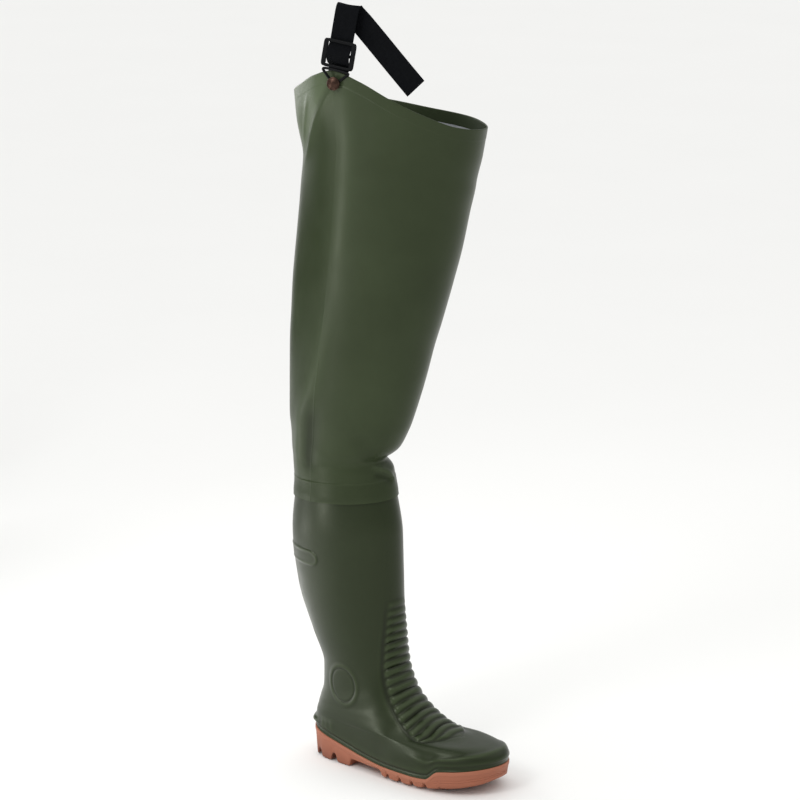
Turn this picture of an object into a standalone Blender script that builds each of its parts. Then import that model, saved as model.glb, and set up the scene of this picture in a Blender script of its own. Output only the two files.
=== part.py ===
"""Thigh wader boot for the right foot: moulded boot, cup sole, fabric thigh leg, strap and slide.

Frame: +X to the toe, +Y to the inner (medial) side, +Z up, origin on the floor under the heel.
Tables and constants are in millimetres and degrees, objects in metres.
"""
import math

import bmesh
import bpy
import numpy as np

for thing in list(bpy.data.objects):
    bpy.data.objects.remove(thing, do_unlink=True)

MM = 0.001
COLUMNS = 36            # faces round the boot and the shaft
JOINT_GAP = 0.3         # clearance between neighbouring pieces
SMOOTH_BELOW = 38.0     # edges sharper than this stay sharp

# Walls and joints
BOOT_WALL = 2.6
SHAFT_WALL = 1.3
LEG_LEAN = -8.0         # the leg stands this far to the outer side of the foot
BAND_BOTTOM = 372.0     # lower edge of the weld band, where the shaft laps the boot
BOOT_TOP = 392.0
BAND_TOP = 397.0
BAND_STEP = 0.9
HEM = 15.0              # depth of the collar hem
HEM_STEP = 0.7
RIM_BASE = 882.0        # mean height of the collar
RIM_FROM = 620.0        # the collar's rise and fall dies out down here

# Relief of the boot
RIB_FROM = 90.0         # along the front, from the feather edge
RIB_PITCH = 11.2
RIB_COUNT = 19
RIB_HEIGHT = 2.0
DISC_CENTRE = (26.0, 110.0)
DISC_RADIUS = 24.0
DISC_STEP = 1.6
SPUR_Z = 48.5
SPUR_HEIGHT = 4.0
TAB_Z = 294.0
TAB_HALF_HEIGHT = 13.5
TAB_STEP = 1.6

# Sole and insole
SOLE_MARGIN = 2.2       # the sole stands proud of the upper
SIDE_BAND = 5.0         # proud band along the top of the sole's side
SIDE_STEP = 0.8
SIDE_TAPER = 3.0        # the side leans in by this much at the tread
CROWN_WIDTH = 15.0      # the tread rises over this width to its edge
RIM_WIDTH = 6.5         # width of the cup rim that carries the upper
RIM_SLOPE = 1.5
INSOLE_THICK = 4.0
INSOLE_CLEAR = 2.4

# Strap and fittings
WEBBING_WIDTH = 30.0
WEBBING_THICK = 1.8
SLIDE_WIDTH = 43.0
SLIDE_HEIGHT = 36.0
SLIDE_BAR = 4.0
SLIDE_SIDE = 5.0
SLIDE_THICK = 2.6
SLIDE_LEAN = 10.0
SLIDE_PLACE = (6.4, 36.4, 5.0)
WIRE_RADIUS = 1.7
BUTTON_ANGLE = -94.0
BUTTON_BELOW_RIM = 14.0
STRAP_FACES = 20.0      # azimuth that the strap and the slide face

# Sections of the boot: front and back point of each tilted ring and its half widths from heel to toe.
BOOT_COLUMNS = ("front_x", "front_z", "back_x", "back_z", "heel", "waist", "ball", "toe")
BOOT = {
    "feather":    (251.0, 40.0, -43.0, 45.0, 53.0, 42.0, 54.0, 72.0),
    "wall":       (255.0, 46.0, -45.5, 50.0, 53.0, 43.0, 54.5, 71.0),
    "shoulder":   (253.0, 52.5, -46.0, 53.0, 52.0, 43.0, 54.0, 69.0),
    "toe_dome":   (245.5, 57.5, -45.3, 55.5, 51.0, 43.0, 52.5, 62.0),
    "toe_top":    (230.0, 60.5, -44.8, 57.5, 50.0, 43.0, 50.0, 55.0),
    "vamp":       (205.0, 62.0, -44.4, 59.5, 49.0, 42.5, 48.0, 50.0),
    "rib_start":  (182.0, 66.5, -44.0, 61.5, 48.0, 42.0, 46.0, 48.0),
    "instep_low": (160.0, 75.0, -43.5, 63.5, 47.0, 41.5, 45.0, 49.0),
    "instep":     (141.0, 85.0, -42.6, 66.0, 46.0, 41.0, 44.0, 49.0),
    "instep_top": (124.0, 97.0, -41.4, 69.5, 44.0, 40.0, 42.5, 49.0),
    "bend":       (110.5, 111.5, -39.5, 75.0, 43.0, 39.5, 42.0, 48.0),
    "ankle":      (101.0, 130.0, -36.5, 84.0, 41.5, 39.0, 41.0, 46.0),
    "shin_low":   (95.0, 152.0, -31.8, 99.0, 41.0, 40.0, 41.0, 44.0),
    "shin":       (92.0, 183.0, -31.0, 128.0, 42.0, 42.0, 42.5, 44.0),
    "calf_low":   (91.5, 225.0, -48.5, 172.0, 46.0, 46.5, 46.0, 46.0),
    "calf":       (91.5, 272.0, -69.5, 236.0, 51.0, 51.0, 50.0, 50.0),
    "leg":        (91.0, 322.0, -76.5, 308.0, 53.0, 53.0, 52.0, 52.0),
    "top":        (77.5, BOOT_TOP, -69.0, BOOT_TOP, 49.5, 49.5, 48.5, 48.5),
}
# The rings dip at the sides of the instep, so that the ribs cross it squarely.
DIP = {"level": (0, 6, 7, 8.5, 9.5, 10.5, 12, 17), "dip": (0, 4.9, 4.9, 3.7, 2.4, 0.9, 0, 0)}
# Half angle that the ribs reach to, along the front.
RIB_SIDE = {"level": (5.7, 6.0, 6.6, 7.0, 7.7, 8.5, 9.5, 10.4, 11.9, 13.0, 14.6),
            "angle": (0, 22, 48, 59, 55, 49, 42, 39, 38, 33, 21)}
# Joint between the sole and the upper, its cup floor and the tread, along the foot.
JOINT = {"x": (-50, -20, 5, 32, 58, 100, 150, 171, 190, 215, 240, 262),
         "z": (44, 36.5, 31.5, 26, 21, 16.5, 16, 17, 30, 33, 36.5, 40)}
CUP = {"x": (-50, -10, 30, 70, 110, 150, 200, 262), "z": (30, 26.5, 23, 18.5, 14.5, 13.5, 16, 26)}
TREAD = {"x": (-50, -46, -42, -38, 34, 37.5, 60, 88, 93, 96, 178, 192, 208, 224, 240, 262),
         "z": (10, 3, 0.7, 0, 0, 11, 11, 8, 6, 0, 0, 1.8, 5, 9, 15, 26)}
CROWN = {"x": (-50, 36, 60, 92, 110, 150, 192, 224, 245, 262), "z": (0.6, 0.6, 0, 2.8, 2.2, 3.2, 5.6, 3.2, 0.6, 0.3)}
GROOVES = {"x": (-24, 6, 106, 128, 149, 170, 192), "width": (8, 8, 6, 6, 6, 6, 5), "depth": (10, 10, 6, 6, 6, 6, 4)}
# Collar height round the leg: 0 is the front, 90 the inner side, -90 the outer side under the strap.
RIM = {"angle": (-180, -150, -130, -110, -95, -80, -60, -40, -20, 0, 30, 60, 90, 120, 150, 180),
       "z": (892, 900, 912, 929, 938, 927, 905, 886, 872, 866, 863, 866, 869, 877, 886, 892)}
# Sections of the thigh leg and its main folds.
SHAFT_COLUMNS = ("z", "centre_x", "half_depth", "half_width")
SHAFT = (
    (BAND_BOTTOM, 5.6, 80.6, 52.6),
    (BOOT_TOP, 4.25, 73.9, 50.1),
    (404.0, 3.0, 72.6, 48.6),
    (417.0, 2.5, 72.4, 47.6),
    (430.0, 4.5, 77.0, 51.0),
    (449.0, 9.0, 83.5, 54.5),
    (470.0, 13.0, 89.5, 58.5),
    (502.0, 19.0, 94.5, 63.4),
    (534.0, 24.4, 99.2, 67.0),
    (577.0, 30.9, 104.4, 71.5),
    (608.0, 37.2, 108.3, 74.7),
    (661.0, 47.1, 114.0, 79.5),
    (713.0, 57.2, 117.5, 82.0),
    (765.0, 65.6, 119.0, 85.0),
    (806.0, 71.5, 121.5, 88.0),
    (847.0, 72.0, 131.0, 91.5),
    (RIM_BASE, 73.5, 136.0, 94.0),
)
FOLD_COLUMNS = ("move", "z", "half_z", "angle", "half_angle")
FOLDS = {
    "knee_tuck": (-11.0, 428.0, 9.0, 25.0, 58.0),
    "outer_ridge": (5.0, 880.0, 130.0, -104.0, 15.0),
    "back_pinch": (-5.0, 800.0, 18.0, -155.0, 32.0),
}
SHAFT_ROWS = (BAND_BOTTOM, 375, 390, 398, 408, 417, 424, 430, 437, 448, 462, 482, 508, 545, 600, 660, 720,
              770, 806, 838, 866, 867, RIM_BASE)
SHAFT_INNER_ROWS = (BAND_BOTTOM, 390, 398, 408, 417, 424, 430, 437, 448, 465, 500, 550, 610, 690, 760, 806, 838,
                    RIM_BASE)
# Strap stations from the fixed end: along its face, up, outward, turn and roll.
STRAP_COLUMNS = ("along", "up", "out", "turn", "roll")
STRAP = (
    (-1.5, -9.0, -6.1, 10.0, 18.0),
    (0.5, 3.0, -5.9, 10.0, 18.0),
    (2.7, 17.0, -5.6, 10.0, 17.0),
    (4.0, 23.4, 0.3, 10.0, 7.0),
    (5.0, 28.5, 4.8, 10.0, 2.0),
    (6.4, 36.4, 8.4, 10.0, 0.0),
    (7.8, 44.4, 4.8, 10.0, 0.0),
    (9.2, 52.2, 1.8, 10.0, 0.0),
    (10.8, 61.0, 1.5, 10.0, 0.0),
    (14.6, 82.0, 1.5, 10.0, 0.0),
    (16.6, 93.0, 0.6, 10.0, 0.0),
    (17.4, 97.0, -3.0, 9.0, 0.0),
    (18.2, 93.0, -6.6, 5.0, 0.0),
    (21.8, 86.0, -8.5, -14.0, 0.0),
    (33.0, 73.5, -9.5, -30.0, 0.0),
    (49.0, 56.0, -9.0, -39.0, 0.0),
    (77.0, 26.0, -6.0, -42.0, 0.0),
    (104.5, -3.0, -3.0, -43.0, 0.0),
)
RIVET_STATION = 0.75
LOOP = {"along": (-15.5, 15.5, 12, 6.4, 5.6, 0, -5.6, -6.4, -12),
        "up": (16.5, 16.5, 10.0, 4, -2, -6.6, -2, 4, 9.6),
        "out": (5.4, 7.0, 7.2, 5.7, 5.2, 4.8, 4.6, 4.7, 5.0)}
TURNED_COLUMNS = ("radius", "height")
BUTTON = ((5, 1.6), (5, 2.3), (3, 2.6), (3, 7.2), (8.5, 7.6), (8.5, 8.8), (6, 10.3))
RIVET = ((4.3, 0), (4.3, 0.8), (3, 1.7))


def smooth(t):
    """Ease from 0 to 1."""
    t = np.clip(t, 0.0, 1.0)
    return t * t * (3.0 - 2.0 * t)


def bell(t):
    """Soft bump of height 1 about 0."""
    return np.exp(-np.square(t))


def curve(xs, ys, x):
    """Cubic through the points without overshoot."""
    xs, ys, x = np.asarray(xs, float), np.asarray(ys, float), np.asarray(x, float)
    step, rise = np.diff(xs), np.diff(ys) / np.diff(xs)
    slope = np.empty_like(ys)
    slope[0], slope[-1] = rise[0], rise[-1]
    product = rise[:-1] * rise[1:]
    slope[1:-1] = np.where(product > 0, 2 * product / np.where(product > 0, rise[:-1] + rise[1:], 1.0), 0.0)
    i = np.clip(np.searchsorted(xs, x) - 1, 0, len(xs) - 2)
    t = np.clip((x - xs[i]) / step[i], 0.0, 1.0)
    a, b, d = ys[i], ys[i + 1], step[i]
    return (a * (1 + 2 * t) * (1 - t) ** 2 + slope[i] * d * t * (1 - t) ** 2
            + b * t * t * (3 - 2 * t) + slope[i + 1] * d * t * t * (t - 1))


def turn_between(angle, centre):
    """Signed difference of two angles in degrees."""
    return (np.degrees(angle) - centre + 180.0) % 360.0 - 180.0


def columns_of(table, names):
    """A table's columns by name, as arrays."""
    return dict(zip(names, np.array(table, float).T))


ANGLES = np.arange(COLUMNS) * 2 * math.pi / COLUMNS
BOOT_SECTIONS = columns_of(list(BOOT.values()), BOOT_COLUMNS)
BOOT_LEVELS = np.arange(len(BOOT), dtype=float)
FEATHER = dict(zip(BOOT_COLUMNS, BOOT["feather"]))
FEATHER_MIDDLE = (FEATHER["front_x"] + FEATHER["back_x"]) / 2
FEATHER_HALF = (FEATHER["front_x"] - FEATHER["back_x"]) / 2
JOINT_KNOTS = np.sort(FEATHER_MIDDLE + FEATHER_HALF * np.cos(ANGLES[:COLUMNS // 2 + 1]))


def joint_height(x):
    """Height of the joint line, straight between the columns of the upper."""
    knots = np.concatenate([[JOINT["x"][0]], JOINT_KNOTS, [JOINT["x"][-1]]])
    return np.interp(x, knots, curve(JOINT["x"], JOINT["z"], knots))


def boot_smooth(row, angle):
    """Outer surface of the boot without relief: tilted rings between the front and the back profile."""
    row, angle = np.broadcast_arrays(np.asarray(row, float), np.asarray(angle, float))
    turn = np.abs(turn_between(angle, 0.0))
    side = (1 - np.cos(np.radians(np.minimum(turn, 60.0)))) * smooth((150.0 - turn) / 80.0)
    level = row - np.interp(row, DIP["level"], DIP["dip"]) * side
    part = {name: curve(BOOT_LEVELS, values, level) for name, values in BOOT_SECTIONS.items()}
    c, s = np.cos(angle), np.sin(angle)
    x = (part["front_x"] + part["back_x"]) / 2 + c * (part["front_x"] - part["back_x"]) / 2
    z = (part["front_z"] + part["back_z"]) / 2 + c * (part["front_z"] - part["back_z"]) / 2
    t = (c + 0.75) / 0.5
    first = part["waist"] - part["heel"]
    second = part["ball"] - 2 * part["waist"] + part["heel"]
    third = part["toe"] - 3 * part["ball"] + 3 * part["waist"] - part["heel"]
    width = part["heel"] + t * first + t * (t - 1) / 2 * second + t * (t - 1) * (t - 2) / 6 * third
    foot = 1 - smooth((level - 5) / 6)
    swing = 7.0 * smooth((x - 110) / 140) - 3.0 * bell((x - 75) / 55)
    y = width * s + swing * foot + LEG_LEAN * smooth((z - 120) / 230)
    plane = (FEATHER["front_z"] + FEATHER["back_z"]) / 2 + c * (FEATHER["front_z"] - FEATHER["back_z"]) / 2
    z = z + (joint_height(x) + JOINT_GAP - plane) * (1 - smooth(level / 4.0))
    return np.stack([x, y, z], -1)


def normals(grid):
    """Outward normals of a closed-ring grid."""
    round_ = np.roll(grid, -1, 1) - np.roll(grid, 1, 1)
    along = np.gradient(grid, axis=0)
    n = np.cross(round_, along)
    return n / np.linalg.norm(n, axis=-1, keepdims=True)


FINE_LEVELS = np.linspace(0, len(BOOT) - 1, 800)
FRONT_LINE = boot_smooth(FINE_LEVELS, 0.0)
FRONT_RUN = np.concatenate([[0], np.cumsum(np.linalg.norm(np.diff(FRONT_LINE, axis=0), axis=1))])
BACK_LINE = boot_smooth(FINE_LEVELS, math.pi)


def boot_relief(points, row, angle):
    """Steps in the wall: instep ribs, ankle discs, heel spur and back tab."""
    phase = (np.interp(row, FINE_LEVELS, FRONT_RUN) - RIB_FROM) / RIB_PITCH
    wave = 0.5 - 0.5 * np.cos(2 * math.pi * phase)
    reach = np.interp(row, RIB_SIDE["level"], RIB_SIDE["angle"])
    panel = smooth((reach - np.abs(turn_between(angle, 0.0))) / 9.0 + 0.5)
    ribs = RIB_HEIGHT * wave * panel * (phase > 0) * (phase < RIB_COUNT) * smooth((15.0 - row) / 2.2)
    x, y, z = points[..., 0], points[..., 1], points[..., 2]
    away = np.hypot(x - DISC_CENTRE[0], z - DISC_CENTRE[1])
    discs = DISC_STEP * smooth((DISC_RADIUS + 4 - away) / 9.0) * (np.abs(y) > 20)
    back = np.abs(turn_between(angle, 180.0))
    spur = SPUR_HEIGHT * bell((z - SPUR_Z) / 3.5) * smooth((34 - back) / 16) * smooth(row / 0.6)
    tab = TAB_STEP * smooth((30 - back) / 6) * smooth((TAB_HALF_HEIGHT - np.abs(z - TAB_Z)) / 2.0)
    return ribs + discs + spur * (row < 9) + tab


def rim_rise(angle):
    """Height of the collar above its mean."""
    return curve(RIM["angle"], RIM["z"], turn_between(angle, 0.0)) - RIM_BASE


def shaft_surface(height, angle, offset):
    """Thigh leg: ellipses along a leaning centre line, moved in and out by the folds."""
    height, angle = np.broadcast_arrays(np.asarray(height, float), np.asarray(angle, float))
    sections = columns_of(SHAFT, SHAFT_COLUMNS)
    centre, depth, width = (curve(sections["z"], sections[name], height) for name in SHAFT_COLUMNS[1:])
    move = np.zeros_like(height) + offset
    for depth_of_fold, at, half_z, about, half_angle in FOLDS.values():
        move = move + depth_of_fold * bell((height - at) / half_z) * bell(turn_between(angle, about) / half_angle)
    x = centre + (depth + move) * np.cos(angle)
    y = (width + move) * np.sin(angle) + LEG_LEAN * (1 - smooth((height - BAND_BOTTOM) / 500.0))
    z = height + rim_rise(angle) * smooth((height - RIM_FROM) / (RIM_BASE - RIM_FROM))
    return np.stack([x, y, z], -1)


def finish(name, mesh, material):
    """Object for a finished mesh, shaded smooth between its sharp edges."""
    mesh.shade_smooth()
    mesh.set_sharp_from_angle(angle=math.radians(SMOOTH_BELOW))
    mesh.materials.append(material)
    obj = bpy.data.objects.new(name, mesh)
    wader.objects.link(obj)
    return obj


def link(name, verts, faces, material):
    mesh = bpy.data.meshes.new(name)
    mesh.from_pydata((np.asarray(verts, float) * MM).tolist(), [], faces)
    work = bmesh.new()
    work.from_mesh(mesh)
    bmesh.ops.recalc_face_normals(work, faces=work.faces)
    work.to_mesh(mesh)
    work.free()
    return finish(name, mesh, material)


def ring_faces(rows, columns, start=0):
    j = np.arange(columns)
    k = (j + 1) % columns
    base = start + np.arange(rows - 1)[:, None] * columns
    return np.stack([base + j, base + k, base + columns + k, base + columns + j], -1).reshape(-1, 4)


def hollow(name, outer, inner, material):
    """One wall: an outer and an inner ring grid joined at both ends."""
    rows, columns = outer.shape[:2]
    depth = inner.shape[0]
    start = rows * columns
    j = np.arange(columns)
    k = (j + 1) % columns
    low = np.stack([j, k, start + k, start + j], -1)
    o, i = (rows - 1) * columns, start + (depth - 1) * columns
    high = np.stack([o + j, o + k, i + k, i + j], -1)
    faces = np.concatenate([ring_faces(rows, columns), ring_faces(depth, columns, start)[:, ::-1], low, high])
    verts = np.concatenate([outer.reshape(-1, 3), inner.reshape(-1, 3)])
    return link(name, verts, faces.tolist(), material)


def capped(name, rings, material):
    """Loft through rings of points, capped at the ends."""
    rows, columns = rings.shape[:2]
    faces = ring_faces(rows, columns).tolist()
    faces.append(list(range(columns)))
    faces.append(list(range((rows - 1) * columns, rows * columns)))
    return link(name, rings.reshape(-1, 3), faces, material)


def closed_tube(name, rings, material):
    """Loft through rings of points, joined end to end."""
    rows, columns = rings.shape[:2]
    faces = ring_faces(rows + 1, columns) % (rows * columns)
    return link(name, rings.reshape(-1, 3), faces.tolist(), material)


def paint(name, colour, roughness, metallic=0.0):
    material = bpy.data.materials.new(name)
    material.use_nodes = True
    shader = material.node_tree.nodes["Principled BSDF"]
    shader.inputs["Base Color"].default_value = (*colour, 1.0)
    shader.inputs["Roughness"].default_value = roughness
    shader.inputs["Metallic"].default_value = metallic
    return material


wader = bpy.data.collections.new("thigh_wader_boot")
bpy.context.scene.collection.children.link(wader)
GREEN_PVC = paint("green_pvc", (0.040, 0.052, 0.027), 0.38)
COATED_FABRIC = paint("coated_fabric", (0.043, 0.055, 0.030), 0.45)
TERRACOTTA = paint("terracotta_pvc", (0.35, 0.136, 0.078), 0.55)
FOOTBED = paint("footbed_felt", (0.30, 0.31, 0.31), 0.9)
WEBBING = paint("black_webbing", (0.004, 0.005, 0.006), 0.7)
SLIDE_METAL = paint("black_steel", (0.02, 0.02, 0.02), 0.35, 1.0)
COPPER = paint("antique_copper", (0.08, 0.045, 0.032), 0.38, 1.0)
NICKEL = paint("nickel", (0.6, 0.6, 0.6), 0.3, 1.0)

# boot
rib_runs = RIB_FROM + RIB_PITCH * (np.arange(2 * RIB_COUNT + 1) / 2)
tab_edges = TAB_Z + np.array([-TAB_HALF_HEIGHT - 1, -TAB_HALF_HEIGHT + 2, TAB_HALF_HEIGHT - 2, TAB_HALF_HEIGHT + 1])
rows = np.concatenate([[0, 0.25, 0.6, 1, 1.4, 1.8, 2.3, 2.9, 3.5, 4.2, 4.9, 5.5],
                       np.interp(rib_runs, FRONT_RUN, FINE_LEVELS), [14.9, 15.4],
                       np.interp(tab_edges, BACK_LINE[:, 2], FINE_LEVELS), [16.5, 17.0]])
rows = np.unique(np.round(rows, 4))
outer = boot_smooth(rows[:, None], ANGLES)
relief = boot_relief(outer, rows[:, None], ANGLES)
relief[0] = 0.0
boot_outer = outer + normals(outer) * relief[..., None]
inner_rows = np.concatenate([[0, 0.5], np.arange(1.0, len(BOOT))])
inner = boot_smooth(inner_rows[:, None], ANGLES)
boot_inner = inner - normals(inner) * BOOT_WALL
boot_inner[0, :, 2] = np.maximum(boot_outer[0, :, 2], joint_height(boot_inner[0, :, 0]) + JOINT_GAP)
boot_inner[-1, :, 2] = BOOT_TOP
hollow("boot", boot_outer, boot_inner, GREEN_PVC)

# shaft
rows = np.array(SHAFT_ROWS, float)
lap = np.where(rows < BAND_TOP, JOINT_GAP, JOINT_GAP - BAND_STEP)
hem = np.where(rows > RIM_BASE - HEM - 0.5, HEM_STEP, 0.0)
shaft_outer = shaft_surface(rows[:, None], ANGLES, (SHAFT_WALL + lap + hem)[:, None])
rows = np.array(SHAFT_INNER_ROWS, float)
lap = np.where(rows < BAND_TOP, JOINT_GAP, JOINT_GAP - BAND_STEP)
shaft_inner = shaft_surface(rows[:, None], ANGLES, lap[:, None])
hollow("shaft", shaft_outer, shaft_inner, COATED_FABRIC)

# outsole
OUTLINE_STEPS = 73
half_turn = np.linspace(0, math.pi, OUTLINE_STEPS)
edge = boot_smooth(0.0, np.concatenate([half_turn, -half_turn[1:-1][::-1]]))[:, :2]
ahead = np.roll(edge, -1, 0) - np.roll(edge, 1, 0)
sideways = np.stack([ahead[:, 1], -ahead[:, 0]], -1)
sideways /= np.linalg.norm(sideways, axis=1, keepdims=True)


def side_lines(margin):
    """Inner and outer side of the foot outline moved outward by a margin, both from heel to toe."""
    moved = edge + sideways * margin
    medial = moved[:OUTLINE_STEPS][::-1]
    lateral = np.concatenate([moved[OUTLINE_STEPS - 1:], moved[:1]])
    return medial, lateral


def tread_height(x):
    """Underside of the sole: heel, waist, forefoot and toe spring, with the grooves between the lugs."""
    z = np.interp(x, TREAD["x"], TREAD["z"])
    for at, width, depth in zip(GROOVES["x"], GROOVES["width"], GROOVES["depth"]):
        t = np.clip(1 - np.abs(x - at) / (width / 2), 0.0, 1.0)
        z = np.maximum(z, np.where(t > 0, depth * np.minimum(1.0, (3.2 * t) ** 0.7), z))
    return z


medial, lateral = side_lines(SOLE_MARGIN)
sole_back, sole_front = medial[0, 0], medial[-1, 0]
middle, half = (sole_back + sole_front) / 2, (sole_front - sole_back) / 2
ends = (half - 0.4) * np.cos(np.radians([0, 7, 14, 24, 156, 166, 173, 180]))
cup_end = np.array([RIM_WIDTH, RIM_WIDTH + RIM_SLOPE])
stations = [JOINT_KNOTS, middle + ends, np.array(TREAD["x"][1:-1], float), sole_back + cup_end, sole_front - cup_end]
for at, width in zip(GROOVES["x"], GROOVES["width"]):
    stations.append(at + width / 2 * np.array([-1.02, -0.62, 0.62, 1.02]))
stations = np.unique(np.concatenate(stations))
near = np.abs(stations[:, None] - JOINT_KNOTS).min(1)
stations = stations[(near < 1e-6) | (near > 0.6)]
stations = stations[np.concatenate([[True], np.diff(stations) > 0.35])]
stations = stations[(stations > sole_back + 0.3) & (stations < sole_front - 0.3)]
inner_side, outer_side = np.interp(stations, *medial.T), np.interp(stations, *lateral.T)
joint = joint_height(stations)
from_end = np.minimum(stations - sole_back, sole_front - stations)
cup_share = np.clip((from_end - RIM_WIDTH) / RIM_SLOPE, 0.0, 1.0)
floor = joint - np.maximum(joint - curve(CUP["x"], CUP["z"], stations), 1.0) * cup_share
base = tread_height(stations)
crown = np.minimum(curve(CROWN["x"], CROWN["z"], stations), (joint - base) * 0.4)
centre_line = (inner_side + outer_side) / 2
reach = (inner_side - outer_side) / 2
band = np.minimum(SIDE_BAND, (joint - base) * 0.35)


def across(inset, share, height):
    """The two points of the sole's section that lie inset from its sides, by at most a share of its width."""
    inset = np.minimum(inset, share * reach)
    return [np.stack([stations, centre_line + sign * (reach - inset), height], -1) for sign in (1, -1)]


profile = [across(RIM_WIDTH + RIM_SLOPE, 0.55, floor), across(RIM_WIDTH, 0.45, joint), across(0.0, 0.0, joint),
           across(0.0, 0.0, joint - band), across(SIDE_STEP, 0.1, joint - band - 1.0),
           across(SIDE_TAPER, 0.2, base + crown), across(SIDE_TAPER + CROWN_WIDTH, 0.7, base)]
section = [left for left, right in profile] + [right for left, right in profile[::-1]]
capped("outsole", np.stack(section, 1), TERRACOTTA)

# insole
bed = np.linspace(sole_back + 13.5, sole_front - 13.5, 30)
medial, lateral = side_lines(SOLE_MARGIN - RIM_WIDTH - INSOLE_CLEAR)
left, right = np.interp(bed, *medial.T), np.interp(bed, *lateral.T)
under = np.interp(bed, stations, floor) + JOINT_GAP
slab = [np.stack([bed, left, under], -1), np.stack([bed, left - 1, under + INSOLE_THICK], -1),
        np.stack([bed, right + 1, under + INSOLE_THICK], -1), np.stack([bed, right, under], -1)]
capped("insole", np.stack(slab, 1), FOOTBED)

# strap
hem_offset = SHAFT_WALL + JOINT_GAP - BAND_STEP + HEM_STEP
spot = shaft_surface(RIM_BASE - BUTTON_BELOW_RIM, math.radians(BUTTON_ANGLE), hem_offset)
face = math.radians(STRAP_FACES)
ALONG = np.array([math.cos(face), math.sin(face), 0.0])
OUT = np.array([math.sin(face), -math.cos(face), 0.0])
UP = np.array([0.0, 0.0, 1.0])


def local(along, up, outward):
    """Points from the button's foot, in the frame that the strap faces."""
    along, up, outward = (np.asarray(v, float)[..., None] for v in (along, up, outward))
    return spot + along * ALONG + up * UP + outward * OUT


stops = np.arange(len(STRAP), dtype=float)
at = np.linspace(0, stops[-1], 3 * (len(STRAP) - 1) + 1)
strap = {name: curve(stops, values, at) for name, values in columns_of(STRAP, STRAP_COLUMNS).items()}
path = local(strap["along"], strap["up"], strap["out"])
turn, roll = np.radians(strap["turn"])[:, None], np.radians(strap["roll"])[:, None]
side = np.cos(roll) * (np.cos(turn) * ALONG - np.sin(turn) * UP) + np.sin(roll) * OUT
flat = np.cross(side, np.gradient(path, axis=0))
flat /= np.linalg.norm(flat, axis=1, keepdims=True)
corners = [(a * WEBBING_WIDTH / 2, b * WEBBING_THICK / 2) for a, b in ((-1, -1), (1, -1), (1, 1), (-1, 1))]
capped("strap", np.stack([path + a * side + b * flat for a, b in corners], 1), WEBBING)

# slide buckle
lean = math.radians(SLIDE_LEAN)
SLIDE_ALONG = math.cos(lean) * ALONG - math.sin(lean) * UP
SLIDE_UP = math.sin(lean) * ALONG + math.cos(lean) * UP
half_width, half_height, half_bar = SLIDE_WIDTH / 2, SLIDE_HEIGHT / 2, SLIDE_BAR / 2
columns = (-half_width, SLIDE_SIDE - half_width, half_width - SLIDE_SIDE, half_width)
lines = (-half_height, SLIDE_BAR - half_height, -half_bar, half_bar, half_height - SLIDE_BAR, half_height)
WINDOWS = ((1, 1), (1, 3))
back = local(*SLIDE_PLACE) - SLIDE_THICK / 2 * OUT
work = bmesh.new()
grid = [[work.verts.new((back + a * SLIDE_ALONG + b * SLIDE_UP) * MM) for b in lines] for a in columns]
for i in range(len(columns) - 1):
    for j in range(len(lines) - 1):
        if (i, j) not in WINDOWS:
            work.faces.new([grid[i][j], grid[i + 1][j], grid[i + 1][j + 1], grid[i][j + 1]])
grown = bmesh.ops.extrude_face_region(work, geom=work.faces[:])
raised = [v for v in grown["geom"] if isinstance(v, bmesh.types.BMVert)]
bmesh.ops.translate(work, verts=raised, vec=(SLIDE_THICK * OUT * MM).tolist())
bmesh.ops.recalc_face_normals(work, faces=work.faces)
mesh = bpy.data.meshes.new("slide_buckle")
work.to_mesh(mesh)
work.free()
edge_round = finish("slide_buckle", mesh, SLIDE_METAL).modifiers.new("edges", "BEVEL")
edge_round.width = 0.7 * MM
edge_round.segments = 1
edge_round.limit_method = "ANGLE"


# wire loop
def closed_spline(values, count):
    """Round closed curve through the values."""
    v = np.asarray(values, float)
    t = np.linspace(0, len(v), count, endpoint=False)
    i = t.astype(int)
    u = t - i
    p = [v[(i + d) % len(v)] for d in (-1, 0, 1, 2)]
    return 0.5 * (2 * p[1] + (p[2] - p[0]) * u + (2 * p[0] - 5 * p[1] + 4 * p[2] - p[3]) * u ** 2
                  + (3 * p[1] - p[0] - 3 * p[2] + p[3]) * u ** 3)


WIRE_STEPS, WIRE_SIDES = 34, 6
along, up, outward = (closed_spline(LOOP[name], WIRE_STEPS)[:, None] for name in ("along", "up", "out"))
wire = spot + along * SLIDE_ALONG + up * SLIDE_UP + outward * OUT
ahead = np.roll(wire, -1, 0) - np.roll(wire, 1, 0)
across_wire = np.cross(ahead, OUT)
across_wire /= np.linalg.norm(across_wire, axis=1, keepdims=True)
up_wire = np.cross(across_wire, ahead)
up_wire /= np.linalg.norm(up_wire, axis=1, keepdims=True)
tour = np.arange(WIRE_SIDES) * 2 * math.pi / WIRE_SIDES
closed_tube("button_loop", np.stack([wire + WIRE_RADIUS * (math.cos(a) * across_wire + math.sin(a) * up_wire)
                                     for a in tour], 1), SLIDE_METAL)


# button and rivet
def lathe(name, profile_rows, centre, axis, steps, material):
    """Turned piece about an axis from a profile of radius and height."""
    one = np.cross(axis, UP)
    one /= np.linalg.norm(one)
    two = np.cross(axis, one)
    tour = np.arange(steps) * 2 * math.pi / steps
    circle = np.cos(tour)[:, None] * one + np.sin(tour)[:, None] * two
    turned = columns_of(profile_rows, TURNED_COLUMNS)
    body = [centre + r * circle + h * axis for r, h in zip(turned["radius"], turned["height"])]
    return capped(name, np.stack(body), material)


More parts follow.
